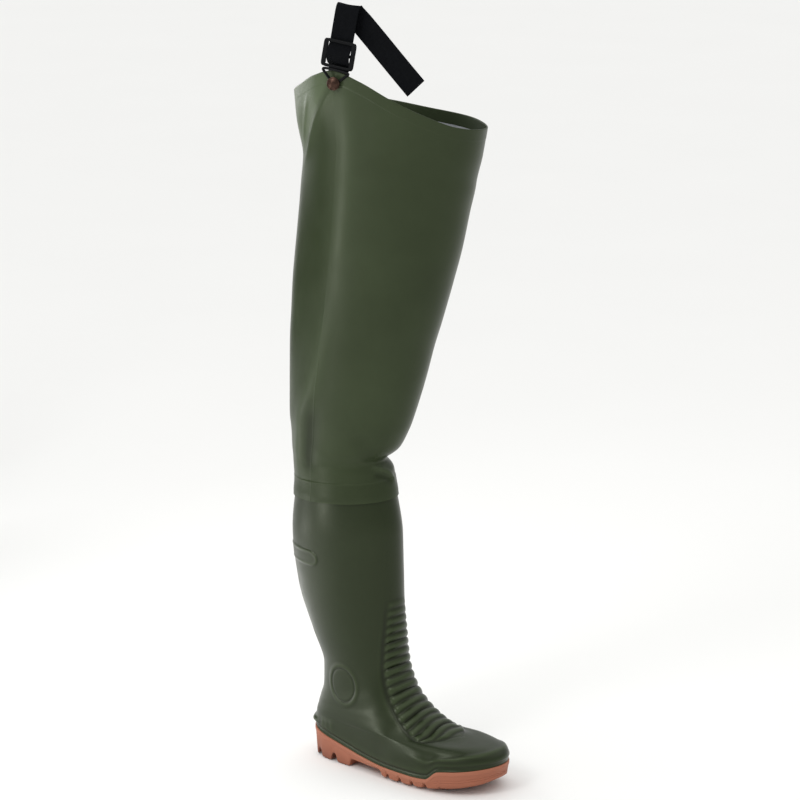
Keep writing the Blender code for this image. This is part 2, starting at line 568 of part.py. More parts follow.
lathe("button", BUTTON, spot, OUT, 18, COPPER)
anchor = int(np.argmin(np.abs(at - RIVET_STATION)))
behind = flat[anchor] if flat[anchor] @ OUT < 0 else -flat[anchor]
lathe("rivet_cap", RIVET, path[anchor] + behind * (WEBBING_THICK / 2 + JOINT_GAP), behind, 16, NICKEL)
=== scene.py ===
"""Looks of a thigh wader boot for the right foot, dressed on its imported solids.

Frame: +X to the toe, +Y to the inner (medial) side, +Z up, origin on the floor under the heel.
Tables and constants are in millimetres and degrees; meshes and properties are in metres.
"""

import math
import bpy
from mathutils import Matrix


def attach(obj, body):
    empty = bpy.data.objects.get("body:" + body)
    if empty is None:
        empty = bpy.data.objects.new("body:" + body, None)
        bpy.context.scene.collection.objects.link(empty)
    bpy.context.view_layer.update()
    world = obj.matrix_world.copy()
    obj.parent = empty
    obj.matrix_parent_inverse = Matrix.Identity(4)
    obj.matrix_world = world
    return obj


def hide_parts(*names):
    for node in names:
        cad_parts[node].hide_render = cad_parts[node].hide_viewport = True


bl_info = {
    "name": "Thigh wader boot",
    "version": (1, 0, 0),
    "blender": (4, 5, 0),
    "location": "View3D > Sidebar > Wader",
    "description": "Moulded boot, cup sole, coated thigh leg, strap and fittings of a thigh wader",
    "category": "Add Mesh",
}

import bmesh
import bpy
import numpy as np
from bpy.props import FloatProperty, FloatVectorProperty, PointerProperty
from mathutils import Vector

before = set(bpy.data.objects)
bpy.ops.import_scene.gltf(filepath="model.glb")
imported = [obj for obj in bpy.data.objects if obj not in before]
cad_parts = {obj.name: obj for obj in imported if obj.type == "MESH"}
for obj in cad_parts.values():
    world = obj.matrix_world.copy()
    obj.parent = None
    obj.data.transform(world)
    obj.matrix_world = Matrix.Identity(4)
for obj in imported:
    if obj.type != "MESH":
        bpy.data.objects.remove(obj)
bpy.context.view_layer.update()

MM = 0.001
BODY = "root"

# Grids
BOOT_COLUMNS_ROUND = 264
BOOT_ROWS_OUTSIDE = 330
BOOT_ROWS_INSIDE = 40
LEG_COLUMNS_ROUND = 280
LEG_ROW_STEP = 2.4
COLUMN_BIAS = 0.2       # draws the columns together at the sides of the foot
ROW_DENSITY = {"lip": 2.5, "ribs": 1.0, "leg": 0.4, "tab": 1.4}
LIP_LEVEL = 1.2
TAB_LEVEL = 15.7
TAB_HALF_LEVEL = 0.5
CREASE_STEPS = 160      # points on the line of a crease
CREASE_FADE = 0.3       # share of a crease's length over which each end dies out

# Walls and joints
JOINT_GAP = 0.3
BOOT_WALL = 2.6
LEG_WALL = 1.3
LEG_LEAN = -8.0         # the leg stands this far to the outer side of the foot
BAND_BOTTOM = 372.0     # lower edge of the weld band, where the leg laps the boot
BOOT_TOP = 392.0
BAND_TOP = 397.0
RIM_BASE = 882.0        # mean height of the collar
RIM_FROM = 620.0        # the collar's rise and fall dies out down here
WELD_DROP = 6.0         # half of how far the weld band hangs lower at the back
WELD_FRONT = 30.0       # where it is highest

# Relief of the boot
RIB_FROM = 90.0         # along the front, from the feather edge
RIB_PITCH = 11.2
RIB_COUNT = 19
RIB_CREST = 0.7         # below 1 the crests are broad and the valleys narrow
RIB_EDGE = 8.0          # degrees in which a rib rises at the panel's side
PANEL_LEVELS = (5.6, 14.6)
DISC_CENTRE = (24.0, 112.0)
DISC_RADIUS = 24.0
DISC_LEAN = 10.0
DISC_SQUEEZE = 0.88     # width of the oval over its height
DISC_RING = 0.45
DISC_GROOVE = 0.6
DISC_OFF_CENTRE = 20.0  # the discs lie farther than this from the foot's middle
HEEL_TOP = 9.0          # level under which the heel's relief lies
SPUR_Z = 48.5
SPUR_HEIGHT = 3.6
HEEL_RIB_Z = 50.0
HEEL_RIB_HEIGHT = 0.7
HEEL_RIB_ANGLES = (36.5, 41.5, 46.5)
TAB_Z = 284.0
TAB_HALF_HEIGHT = 11.5
TAB_REACH = 88.0        # the tab reaches this far round from the back
TAB_PER_DEGREE = 1.06   # millimetres round the leg
TAB_BEAD = 0.45
TOE_RIDGE_HEIGHT = 1.5
TOE_RIDGE_WIDTH = 0.42  # in levels
VAMP_SWELL = 1.2        # the foot's side swells low down and falls in above
VAMP_FALL = 1.0
FLANK_ROWS = 16         # rows over which the foot's side is evened
TONE_RELIEF = 0.6       # relief at which the painted shade in recesses and the painted highlight on crests are full

# Sole and footbed
SOLE_MARGIN = 2.2
SIDE_BAND = 5.0
SIDE_STEP = 0.8
SIDE_TAPER = 3.0
CROWN_WIDTH = 15.0
RIM_WIDTH = 6.5
RIM_SLOPE = 1.5
SHALLOWEST_CUP = 1.0
FOOTBED_THICK = 4.0
FOOTBED_CLEAR = 4.4
FOOTBED_FLAT = 6.0      # its rounded edge ends this far in

# Leg
HEM_TURN = 0.4          # the hem's turned edge inside the collar
TAPE_HALF_WIDTH = 6.0   # tape over the seam on the lining
TAUT_ANGLE = -145.0     # the strap draws the collar taut here
FACET_FROM = 790.0      # lower end of the taut facet
SEAM_FADE = 660.0       # the seam is faint above this height
SEAM_WIDTH = 0.6
CREST_TINT = 0.11       # painted highlight per millimetre of a ridge and painted shade per millimetre of a trough
TROUGH_TINT = 0.32
# Painted highlight on the facet behind the strap.
FACET_TINT = 0.8
SEAM_TINT = 0.08
# Painted highlight along the weld band's edges.
EDGE_TINT = 0.25
BAND_TINT = 0.2

# Strap and fittings
SLIDE_WIDTH = 43.0
SLIDE_HEIGHT = 36.0
SLIDE_BAR = 4.0
SLIDE_SIDE = 6.2
SLIDE_THICK = 2.6
SLIDE_LEAN = 10.0
SLIDE_PLACE = (6.4, 36.4, 5.0)
BUTTON_ANGLE = -94.0
BUTTON_BELOW_RIM = 14.0
BUTTON_SINK = 0.2
STRAP_FACES = 20.0
SLIDE_SQUARE = 0.16     # near 0 the slide's corners are square
SLIDE_SWELL = 1.1       # its sides are wider than its bars by twice this

# Finishes
SHEEN = (0.93, 1.0, 0.79)   # the wax in the green PVC tints its shine
NO_TINT = (1.0, 1.0, 1.0)
FLAG_BLACK = (0.005, 0.005, 0.005)
BOOT_GLOSS = 0.31           # roughness
SOLE_GLOSS = 0.55

# Stage, in metres and degrees
STAGE_X = 0.05          # the lights stand round this point of the foot
CAMERA_X = 0.0894       # the camera looks at this point of the foot
SENSOR_WIDTH = 36.0
FLOOR_HALF = 30.0
SKY_ANGLE = 120.0
FLAG = {"radius": 1.35, "from": -200.0, "to": -137.0, "bottom": 0.25, "tall": 0.45, "posts": 12}
LIGHT_COLUMNS = ("bearing", "away", "height", "aim", "width", "tall")
LIGHTS = {
    "strip": (-124.0, 2.0, 0.23, 0.23, 0.42, 0.28),
    "key": (-93.0, 1.6, 1.7, 0.1, 0.5, 0.8),
    "low": (-163.0, 0.66, 0.03, -3.0, 0.9, 0.48),
    "patch": (-154.0, 1.35, 0.03, -3.0, 0.45, 0.5),
    "collar": (174.0, 1.25, 0.95, 0.95, 0.6, 0.5),
    "top": (180.0, 0.6, 2.4, 0.1, 0.8, 0.8),
}

# Sections of the boot: front and back point of each tilted ring and its half widths from heel to toe.
BOOT_COLUMNS = ("front_x", "front_z", "back_x", "back_z", "heel", "waist", "ball", "toe")
BOOT = {
    "feather":    (251.0, 40.0, -43.0, 45.0, 53.0, 42.0, 54.0, 72.0),
    "wall":       (255.0, 46.0, -45.5, 50.0, 53.0, 43.0, 54.5, 71.0),
    "shoulder":   (253.0, 52.5, -46.0, 53.0, 52.0, 43.0, 54.0, 69.0),
    "toe_dome":   (245.5, 57.5, -45.3, 55.5, 51.0, 43.0, 52.5, 62.0),
    "toe_top":    (230.0, 60.5, -44.8, 57.5, 50.0, 43.0, 50.0, 55.0),
    "vamp":       (205.0, 62.0, -44.4, 59.5, 49.0, 42.5, 48.0, 50.0),
    "rib_start":  (182.0, 66.5, -44.0, 61.5, 48.0, 42.0, 46.0, 48.0),
    "instep_low": (160.0, 75.0, -43.5, 63.5, 47.0, 41.5, 45.0, 49.0),
    "instep":     (141.0, 85.0, -42.6, 66.0, 46.0, 41.0, 44.0, 49.0),
    "instep_top": (124.0, 97.0, -41.4, 69.5, 44.0, 40.0, 42.5, 49.0),
    "bend":       (110.5, 111.5, -39.5, 75.0, 43.0, 39.5, 42.0, 48.0),
    "ankle":      (101.0, 130.0, -36.5, 84.0, 41.5, 39.0, 41.0, 46.0),
    "shin_low":   (95.0, 152.0, -31.8, 99.0, 41.0, 40.0, 41.0, 44.0),
    "shin":       (92.0, 183.0, -31.0, 128.0, 42.0, 42.0, 42.5, 44.0),
    "calf_low":   (91.5, 225.0, -48.5, 172.0, 46.0, 46.5, 46.0, 46.0),
    "calf":       (91.5, 272.0, -69.5, 236.0, 51.0, 51.0, 50.0, 50.0),
    "leg":        (91.0, 322.0, -76.5, 308.0, 53.0, 53.0, 52.0, 52.0),
    "top":        (77.5, BOOT_TOP, -69.0, BOOT_TOP, 49.5, 49.5, 48.5, 48.5),
}
DIP = {"level": (0, 6, 7, 8.5, 9.5, 10.5, 12, 17), "dip": (0, 4.9, 4.9, 3.7, 2.4, 0.9, 0, 0)}
RIB_SIDE = {"level": (5.7, 6.0, 6.6, 7.0, 7.7, 8.5, 9.5, 10.4, 11.9, 13.0, 14.6),
            "angle": (0, 22, 48, 59, 55, 49, 42, 39, 38, 33, 21)}
TOE_RIDGE = {"angle": (0, 20, 34, 43, 51, 61, 80), "row": (3.0, 2.8, 2.75, 2.7, 2.9, 3.4, 4.2)}
# Joint between the sole and the upper, cup floor, tread and its crowned edge, along the foot.
JOINT = {"x": (-50, -20, 5, 32, 58, 100, 150, 171, 190, 215, 240, 262),
         "z": (44, 36.5, 31.5, 26, 21, 16.5, 16, 17, 30, 33, 36.5, 40)}
CUP = {"x": (-50, -10, 30, 70, 110, 150, 200, 262), "z": (30, 26.5, 23, 18.5, 14.5, 13.5, 16, 26)}
TREAD = {"x": (-50, -46, -42, -38, 34, 37.5, 60, 88, 93, 96, 178, 192, 208, 224, 240, 262),
         "z": (10, 3, 0.7, 0, 0, 11, 11, 8, 6, 0, 0, 1.8, 5, 9, 15, 26)}
CROWN = {"x": (-50, 36, 60, 92, 110, 150, 192, 224, 245, 262),
         "z": (0.6, 0.6, 0, 2.8, 2.2, 3.2, 5.6, 3.2, 0.6, 0.3)}
GROOVES = {"x": (-24, 6, 106, 128, 149, 170, 192),
           "width": (11, 11, 6, 6, 6, 6, 5),
           "depth": (11, 11, 6, 6, 6, 6, 4)}
GROOVE_MARKS = (0.4, 0.7, 0.86, 0.94, 0.98, 1.0, 1.06)
# Two fine lines round the toe's side: share of the way down the wall and depth.
WALL = {"share": (0.2, 0.34, 0.38, 0.42, 0.54, 0.58, 0.62, 0.8), "depth": (0, 0, 0.5, 0, 0, 0.5, 0, 0)}
# Collar height round the leg: 0 is the front, 90 the inner side, -90 the outer side under the strap.
RIM = {"angle": (-180, -150, -130, -110, -95, -80, -60, -40, -20, 0, 30, 60, 90, 120, 150, 180),
       "z": (892, 900, 912, 929, 938, 927, 905, 886, 872, 866, 863, 866, 869, 877, 886, 892)}
LEG_COLUMNS = ("z", "centre_x", "half_depth", "half_width")
LEG = (
    (BAND_BOTTOM, 5.2, 77.6, 51.6),
    (BOOT_TOP, 4.0, 74.2, 50.1),
    (404.0, 2.3, 73.3, 49.6),
    (417.0, 1.4, 73.5, 49.8),
    (430.0, 4.0, 77.5, 51.8),
    (449.0, 9.0, 83.5, 54.5),
    (470.0, 13.0, 89.5, 58.5),
    (502.0, 19.0, 94.5, 63.4),
    (534.0, 24.4, 99.2, 67.0),
    (577.0, 30.9, 104.4, 71.5),
    (608.0, 37.2, 108.3, 74.7),
    (661.0, 47.1, 114.0, 79.5),
    (713.0, 57.2, 117.5, 82.0),
    (765.0, 65.6, 119.0, 85.0),
    (806.0, 71.5, 121.5, 88.0),
    (847.0, 72.0, 131.0, 91.5),
    (RIM_BASE, 73.5, 136.0, 94.0),
)
# Folds of the leg: move, height and its half span, angle and its half span.
FOLDS = {
    "knee_tuck": (-11.0, 422.0, 9.0, 25.0, 58.0),
    "outer_ridge": (5.0, 880.0, 130.0, -104.0, 15.0),
    "back_pinch": (-1.2, 806.0, 16.0, -155.0, 32.0),
}
# Welded seam down the outer side of the leg, by height.
SEAM_ANGLE = -95.0
SEAM = {"z": (372, 440, 500, 560, 650), "angle": (-104, -101, -99, -96, SEAM_ANGLE)}
SEAM_COLUMNS = (-1.4, -0.9, -0.6, -0.35, -0.15, 0.0, 0.15, 0.35, 0.6, 0.9, 1.4)
# Creases of the thigh leg: move, width, crispness, heights and angles of the way points.
FACET_EDGE = (890, 863, 848, 835, 819, 801, 780), (-92, -95, -101, -108, -117, -128, -146)
LEG_CREASES = {
    "facet_edge": (3.0, 13.0, 1.0, *FACET_EDGE),
    "facet_streak": (0.5, 4.0, 0.0, (868, 850, 832, 812), (-118, -122, -128, -138)),
    "panel_ridge": (1.6, 18.0, 0.0, (980, 882, 820, 750, 690, 620), (-88, -88, -88, -89, -90, -92)),
    "knee_ridge": (2.6, 14.0, 0.0, (670, 600, 540, 503, 465, 430, 405, 384),
                   (-92, -95, -100, -108, -117, -121, -122, -122)),
    "knee_hollow": (-1.4, 17.0, 0.0, (520, 480, 450, 425, 400), (-95, -101, -104, -105, -105)),
    "knee_pad": (0.4, 9.0, 0.0, (440, 428, 416), (-90, -91, -92)),
    "fold_lip": (2.6, 4.0, 0.3, (418, 414, 409, 400, 388), (-34, -18, -5, 7, 20)),
    "fold_under": (-2.0, 5.0, 0.0, (408, 404, 399, 392), (-30, -16, -4, 8)),
    "knee_side": (-0.9, 16.0, 0.0, (470, 450, 436, 428), (-62, -50, -38, -22)),
}
# Painted shade beside the knee ridge, which also dulls the gloss there, in the same form, as a share of the
# deep colour.
LEG_SHADES = {"knee_shade": (-0.6, 10.0, 0.0, (520, 480, 450, 420, 392), (-101, -105, -107, -107, -107))}
# Strap stations from the fixed end: along its face, up, outward, turn and roll.
STRAP_COLUMNS = ("along", "up", "out", "turn", "roll")
STRAP = (
    (-1.5, -9.0, -6.1, 10.0, 18.0),
    (0.5, 3.0, -5.9, 10.0, 18.0),
    (2.7, 17.0, -5.6, 10.0, 17.0),
    (4.0, 23.4, 0.3, 10.0, 7.0),
    (5.0, 28.5, 4.8, 10.0, 2.0),
    (6.4, 36.4, 8.4, 10.0, 0.0),
    (7.8, 44.4, 4.8, 10.0, 0.0),
    (9.2, 52.2, 1.8, 10.0, 0.0),
    (10.8, 61.0, 1.5, 10.0, 0.0),
    (14.6, 82.0, 1.5, 10.0, 0.0),
    (16.6, 93.0, 0.6, 10.0, 0.0),
    (17.4, 97.0, -3.0, 9.0, 0.0),
    (18.2, 93.0, -6.6, 5.0, 0.0),
    (21.8, 86.0, -8.5, -14.0, 0.0),
    (33.0, 73.5, -9.5, -30.0, 0.0),
    (49.0, 56.0, -9.0, -39.0, 0.0),
    (77.0, 26.0, -6.0, -42.0, 0.0),
    (104.5, -3.0, -3.0, -43.0, 0.0),
)
RIVET_STATION = 0.75
LOOP = {"along": (-15.5, 15.5, 12, 6.4, 5.6, 0, -5.6, -6.4, -12),
        "up": (16.5, 16.5, 10.0, 4, -2, -6.6, -2, 4, 9.6),
        "out": (5.4, 7.0, 7.2, 5.7, 5.2, 4.8, 4.6, 4.7, 5.0)}
TURNED_COLUMNS = ("radius", "height")
BUTTON = ((0.0, 1.6), (4.7, 1.6), (5.0, 1.9), (4.8, 2.3), (3.0, 2.7), (3.0, 7.1), (7.7, 7.4), (8.4, 7.8),
          (8.5, 8.3), (8.1, 8.9), (7.3, 9.1), (6.7, 8.8), (6.0, 9.0), (4.0, 9.8), (2.0, 10.2), (0.0, 10.3))
RIVET = ((0.0, 0.0), (4.1, 0.0), (4.3, 0.3), (4.2, 0.7), (3.4, 1.3), (1.8, 1.6), (0.0, 1.7))


def linear(code):
    """sRGB hex code as linear RGB."""
    channel = np.array([int(code[i:i + 2], 16) for i in (1, 3, 5)]) / 255.0
    light = np.where(channel <= 0.04045, channel / 12.92, ((channel + 0.055) / 1.055) ** 2.4)
    return tuple(float(v) for v in light)


def colour(name, description, code):
    """Colour property with an sRGB hex default."""
    return FloatVectorProperty(name=name, description=description, subtype="COLOR", size=3, min=0, max=1,
                               default=linear(code))


def length(name, description, millimetres):
    """Length property with a default in millimetres."""
    return FloatProperty(name=name, description=description, unit="LENGTH", precision=4,
                         default=millimetres * MM)


def power(name, description, watts):
    """Property for the power of a light."""
    return FloatProperty(name=name, description=description, unit="POWER", default=watts)


class WaderSizes(bpy.types.PropertyGroup):
    """Sizes of the relief and trim."""
    rib_height: length("Rib height", "Height of the instep ribs", 2.5)
    rib_border: length("Rib border", "Depth of the groove round the rib panel", 0.5)
    disc_step: length("Ankle disc", "Height of the ankle discs", 0.4)
    lip: length("Lip", "How far the upper's lower edge stands out", 0.7)
    lip_groove: length("Groove over the lip", "Depth of the groove above the lower edge", 1.1)
    tab_step: length("Back tab", "Height of the tab on the back of the leg", 0.5)
    band_step: length("Weld band", "Height of the weld band's upper edge", 0.3)
    seam_step: length("Seam", "Height of the leg's welded seam", 0.2)
    hem_depth: length("Hem", "Depth of the collar hem", 15.0)
    hem_step: length("Hem step", "Height of the collar hem", 0.3)
    webbing_width: length("Webbing width", "Width of the strap", 30.0)
    webbing_thick: length("Webbing thickness", "Thickness of the strap", 1.8)
    wire_radius: length("Wire radius", "Radius of the button loop's wire", 1.7)


class WaderColours(bpy.types.PropertyGroup):
    """Colours of the materials."""
    green: colour("Green PVC", "Body colour of the moulded boot", "#1F2715")
    # Painted shade in the boot's recesses.
    green_recess_shade: colour("Green in recesses", "Colour in grooves", "#151A0E")
    # Painted highlight on the boot's crests.
    green_crest_highlight: colour("Green on crests", "Colour on rubbed crests", "#2F3923")
    cloth: colour("Coated cloth", "Colour of the thigh leg", "#2A3220")
    # Painted shade in the troughs and beside the knee ridge; the weld band is darker too.
    cloth_deep: colour("Coated cloth, creased", "Colour in the troughs of the creases", "#1E2515")
    cloth_pale: colour("Coated cloth, paler", "Colour of the paler clouds in the coating", "#363F2B")
    # Painted highlight on ridges, the weld band's edges and the facet behind the strap; the seam is paler
    # too.
    cloth_highlight: colour("Coated cloth, stretched", "Colour where the strap draws the collar taut", "#525D46")
    terracotta: colour("Terracotta PVC", "Colour of the sole", "#9C6049")
    # Painted shade in the sole's grooves; the sole is also darker towards the bottom and at the heel.
    terracotta_deep: colour("Terracotta in recesses", "Colour between the lugs", "#6E3D2C")
    # Paler colour at the top of the sole's side.
    terracotta_pale: colour("Terracotta on edges", "Colour on rubbed edges", "#AE755C")
    lining: colour("Lining", "Grey jersey inside the leg", "#A6A9AC")
    lining_seam: colour("Lining seam", "Tape over the seam inside the leg", "#6E7175")
    felt: colour("Footbed felt", "Colour of the footbed", "#8A8C8B")
    webbing: colour("Webbing", "Colour of the strap", "#040507")
    lacquer: colour("Black lacquer", "Colour of the slide and loop", "#060709")
    copper: colour("Antique copper", "Colour of the button", "#4C3931")
    copper_dark: colour("Copper patina", "Dark patina on the button", "#271D19")
    nickel: colour("Nickel", "Colour of the rivet", "#C9C8C4")


class WaderStage(bpy.types.PropertyGroup):
    """Camera, lights and floor."""
    azimuth: FloatProperty(name="Azimuth", description="Camera's turn about the boot", subtype="ANGLE",
                           default=math.radians(38.0))
    away: FloatProperty(name="Distance", description="Camera's level distance", unit="LENGTH", default=4.1)
    height: FloatProperty(name="Height", description="Camera's height", unit="LENGTH", default=1.49)
    pitch: FloatProperty(name="Pitch", description="Camera's tilt below the level", subtype="ANGLE",
                         default=math.radians(13.54))
    lens: FloatProperty(name="Lens", description="Focal length", unit="CAMERA", default=146.66)
    strip_light: power("Strip light", "Power of the strip at the left front", 4.9)
    key_light: power("Key light", "Power of the high light at the front left", 9.0)
    low_light: power("Low light", "Power of the low light over the floor at the left", 1.7)
    patch_light: power("Floor patch", "Power of the light over the floor farther to the left", 3.0)
    collar_light: power("Collar light", "Power of the light behind the collar at the left", 4.6)
    top_light: power("Top light", "Power of the light overhead", 4.0)
    sky: FloatProperty(name="Sky light", description="Strength of the even light from above", default=1.3)
    room: FloatProperty(name="Room light", description="Strength of the room's even light", default=0.6)
    floor: colour("Floor", "Colour of the floor", "#F1F1EF")


def smooth(t):
    """Ease from 0 to 1: 3t^2 - 2t^3 on the clipped share t."""
    t = np.clip(t, 0.0, 1.0)
    return t * t * (3.0 - 2.0 * t)


def bell(t):
    """Soft bump of height 1 about 0: e to the minus t squared."""
    return np.exp(-np.square(t))


def curve(xs, ys, x):
    """Cubic through the points without overshoot: slopes are the harmonic means of the neighbouring rises."""
    xs, ys, x = np.asarray(xs, float), np.asarray(ys, float), np.asarray(x, float)
    step, rise = np.diff(xs), np.diff(ys) / np.diff(xs)
    slope = np.empty_like(ys)
    slope[0], slope[-1] = rise[0], rise[-1]
    product = rise[:-1] * rise[1:]
    slope[1:-1] = np.where(product > 0, 2 * product / np.where(product > 0, rise[:-1] + rise[1:], 1.0), 0.0)
    i = np.clip(np.searchsorted(xs, x) - 1, 0, len(xs) - 2)
    t = np.clip((x - xs[i]) / step[i], 0.0, 1.0)
    a, b, d = ys[i], ys[i + 1], step[i]
    return (a * (1 + 2 * t) * (1 - t) ** 2 + slope[i] * d * t * (1 - t) ** 2
            + b * t * t * (3 - 2 * t) + slope[i + 1] * d * t * t * (t - 1))


def turn_between(angle, centre):
    """Signed difference of two angles, in degrees."""
    return (np.degrees(angle) - centre + 180.0) % 360.0 - 180.0


def columns_of(table, names):
    """A table's columns by name, as arrays."""
    return dict(zip(names, np.array(table, float).T))


def unit(vectors):
    """Vectors scaled to length 1."""
    return vectors / np.linalg.norm(vectors, axis=-1, keepdims=True)


def normals(grid):
    """Outward normals of a grid whose columns close round: the cross product of its two differences."""
    return unit(np.cross(np.roll(grid, -1, 1) - np.roll(grid, 1, 1), np.gradient(grid, axis=0)))


def blur(field, reach):
    """Mean of a field and its neighbours up to reach steps away, along both axes of its grid."""
    for axis in (0, 1):
        field = np.mean([np.roll(field, step, axis) for step in range(-reach, reach + 1)], axis=0)
    return field


def crease_field(points, creases, place):
    """Soft troughs and ridges: each moves the surface by its depth times a bell of the distance to a smooth
    line through its way points, or an exponential of it where it is crisp, and it dies out at its ends."""
    move = np.zeros(points.shape[:-1])
    for depth, width, crisp, first, second in creases.values():
        share = np.linspace(0.0, 1.0, CREASE_STEPS)
        stops = np.linspace(0.0, 1.0, len(first))
        line = place(curve(stops, first, share), np.radians(curve(stops, second, share)))
        square = (points ** 2).sum(-1)[..., None] + (line ** 2).sum(-1) - 2 * points @ line.T
        near = square.argmin(-1)
        gap = np.sqrt(np.maximum(square.min(-1), 0))
        fade = smooth(np.minimum(share[near], 1 - share[near]) / CREASE_FADE)
        move += depth * fade * ((1 - crisp) * bell(gap / width) + crisp * np.exp(-gap / width))
    return move


BOOT_SECTIONS = columns_of(list(BOOT.values()), BOOT_COLUMNS)
BOOT_LEVELS = np.arange(len(BOOT), dtype=float)
FEATHER = dict(zip(BOOT_COLUMNS, BOOT["feather"]))
FEATHER_MIDDLE = (FEATHER["front_x"] + FEATHER["back_x"]) / 2
FEATHER_HALF = (FEATHER["front_x"] - FEATHER["back_x"]) / 2


def joint_height(x):
    """Height of the joint between sole and upper along the foot."""
    return curve(JOINT["x"], JOINT["z"], x)


def swing(x):
    """Sideways place of the foot's middle line: inward at the toe, a little outward at the waist."""
    return 7.0 * smooth((x - 110) / 140) - 3.0 * bell((x - 75) / 55)


def weld_drop(angle):
    """How far the weld band hangs below its level place: nothing at the front, most at the back."""
    return WELD_DROP * (1 - np.cos(np.asarray(angle) - math.radians(WELD_FRONT)))


def boot_smooth(row, angle):
    """Boot without relief: tilted rings between the front and the back profile, with a cubic half width from
    heel to toe times the sine of the angle, blended to the joint line at the lowest rings."""
    row, angle = np.broadcast_arrays(np.asarray(row, float), np.asarray(angle, float))
    turn = np.abs(turn_between(angle, 0.0))
    side = (1 - np.cos(np.radians(np.minimum(turn, 60.0)))) * smooth((150.0 - turn) / 80.0)
    level = row - np.interp(row, DIP["level"], DIP["dip"]) * side
    part = {name: curve(BOOT_LEVELS, values, level) for name, values in BOOT_SECTIONS.items()}
    c, s = np.cos(angle), np.sin(angle)
    x = (part["front_x"] + part["back_x"]) / 2 + c * (part["front_x"] - part["back_x"]) / 2
    z = (part["front_z"] + part["back_z"]) / 2 + c * (part["front_z"] - part["back_z"]) / 2
    t = (c + 0.75) / 0.5
    first = part["waist"] - part["heel"]
    second = part["ball"] - 2 * part["waist"] + part["heel"]
    third = part["toe"] - 3 * part["ball"] + 3 * part["waist"] - part["heel"]
    width = part["heel"] + t * first + t * (t - 1) / 2 * second + t * (t - 1) * (t - 2) / 6 * third
    foot = 1 - smooth((level - 5) / 6)
    y = width * s + swing(x) * foot + LEG_LEAN * smooth((z - 120) / 230)
    plane = (FEATHER["front_z"] + FEATHER["back_z"]) / 2 + c * (FEATHER["front_z"] - FEATHER["back_z"]) / 2
    z = z + (joint_height(x) + JOINT_GAP - plane) * (1 - smooth(level / 4.0))
    z = z - weld_drop(angle) * smooth(row - 16.0)
    return np.stack([x, y, z], -1)


FINE_LEVELS = np.linspace(0, len(BOOT) - 1, 800)
FRONT_LINE = boot_smooth(FINE_LEVELS, 0.0)
FRONT_RUN = np.concatenate([[0], np.cumsum(np.linalg.norm(np.diff(FRONT_LINE, axis=0), axis=1))])


def boot_rows(count):
    """Levels of the boot's rows: closest at the lip, close over the ribs and the tab, wider up the leg."""
    upper = np.where(FINE_LEVELS < PANEL_LEVELS[1], ROW_DENSITY["ribs"], ROW_DENSITY["leg"])
    weight = np.where(FINE_LEVELS < LIP_LEVEL, ROW_DENSITY["lip"], upper)
    weight = np.where(np.abs(FINE_LEVELS - TAB_LEVEL) < TAB_HALF_LEVEL, ROW_DENSITY["tab"], weight)
    spent = np.concatenate([[0], np.cumsum(np.diff(FRONT_RUN) * weight[1:])])
    return np.interp(np.linspace(0, spent[-1], count), spent, FINE_LEVELS)


def even_flank(base, row, angle):
    """The foot with its sides evened: points there move to the mean of their neighbours along the rows, and
    the change dies out to the toe, the heel, the lip and the leg."""
    turn = np.abs(turn_between(angle, 0.0))
    side = smooth((turn - 35) / 20) * smooth((165 - turn) / 20)
    share = side * smooth((row - 1.0) / 1.5) * smooth((10.5 - row) / 2.0)
    mean = np.mean([np.roll(base, step, 0) for step in range(-FLANK_ROWS, FLANK_ROWS + 1)], axis=0)
    return base + (mean - base) * share[..., None]


def rib_relief(row, turn, sizes):
    """Instep ribs: a power of a sine along the front, in a panel with a groove round it."""
    phase = (np.interp(row, FINE_LEVELS, FRONT_RUN) - RIB_FROM) / RIB_PITCH
    among = (phase > 0) & (phase < RIB_COUNT)
    crest = np.abs(np.sin(math.pi * phase)) ** RIB_CREST
    margin = np.interp(row, RIB_SIDE["level"], RIB_SIDE["angle"]) - turn
    ribs = sizes.rib_height / MM * crest * smooth(margin / RIB_EDGE + 0.1) * among
    beside = (row > PANEL_LEVELS[0]) & (row < PANEL_LEVELS[1])
    border = sizes.rib_border / MM * bell((margin + 1.5) / 2.6) * beside
    return smooth((15.0 - row) / 2.2) * (ribs - border)


def disc_relief(x, y, z, sizes):
    """Ankle discs: on both sides a leaning oval step with a groove and a round rim."""
    lean = math.radians(DISC_LEAN)
    dx, dz = x - DISC_CENTRE[0], z - DISC_CENTRE[1]
    across = (dx * math.cos(lean) + dz * math.sin(lean)) / DISC_SQUEEZE
    past = np.hypot(across, dz * math.cos(lean) - dx * math.sin(lean)) - DISC_RADIUS
    ring = DISC_RING * bell((past - 3.4) / 3.6) - DISC_GROOVE * bell((past + 1.0) / 1.5)
    return (sizes.disc_step / MM * smooth((9.0 - past) / 8.0) + ring) * (np.abs(y) > DISC_OFF_CENTRE)


def heel_relief(row, z, back):
    """Kick-off spur across the heel, with three short ribs on each side."""
    spur = SPUR_HEIGHT * bell((z - SPUR_Z) / 4.4) * smooth((34 - back) / 16) * smooth(row / 0.6)
    stripes = sum(bell((back - at) / 1.7) for at in HEEL_RIB_ANGLES)
    ribs = HEEL_RIB_HEIGHT * stripes * bell((z - HEEL_RIB_Z) / 6.5)
    return (spur + ribs) * (row < HEEL_TOP)


def tab_relief(z, back, sizes):
    """Tab across the back of the leg: a step with round ends and a bead along its edge."""
    end = np.maximum(back * TAB_PER_DEGREE - (TAB_REACH - TAB_HALF_HEIGHT), 0.0)
    edge = TAB_HALF_HEIGHT - np.hypot(end, z - TAB_Z)
    tab = sizes.tab_step / MM * smooth(edge / 2.8) + TAB_BEAD * bell((edge - 2.4) / 1.9)
    return tab * (z > 250)


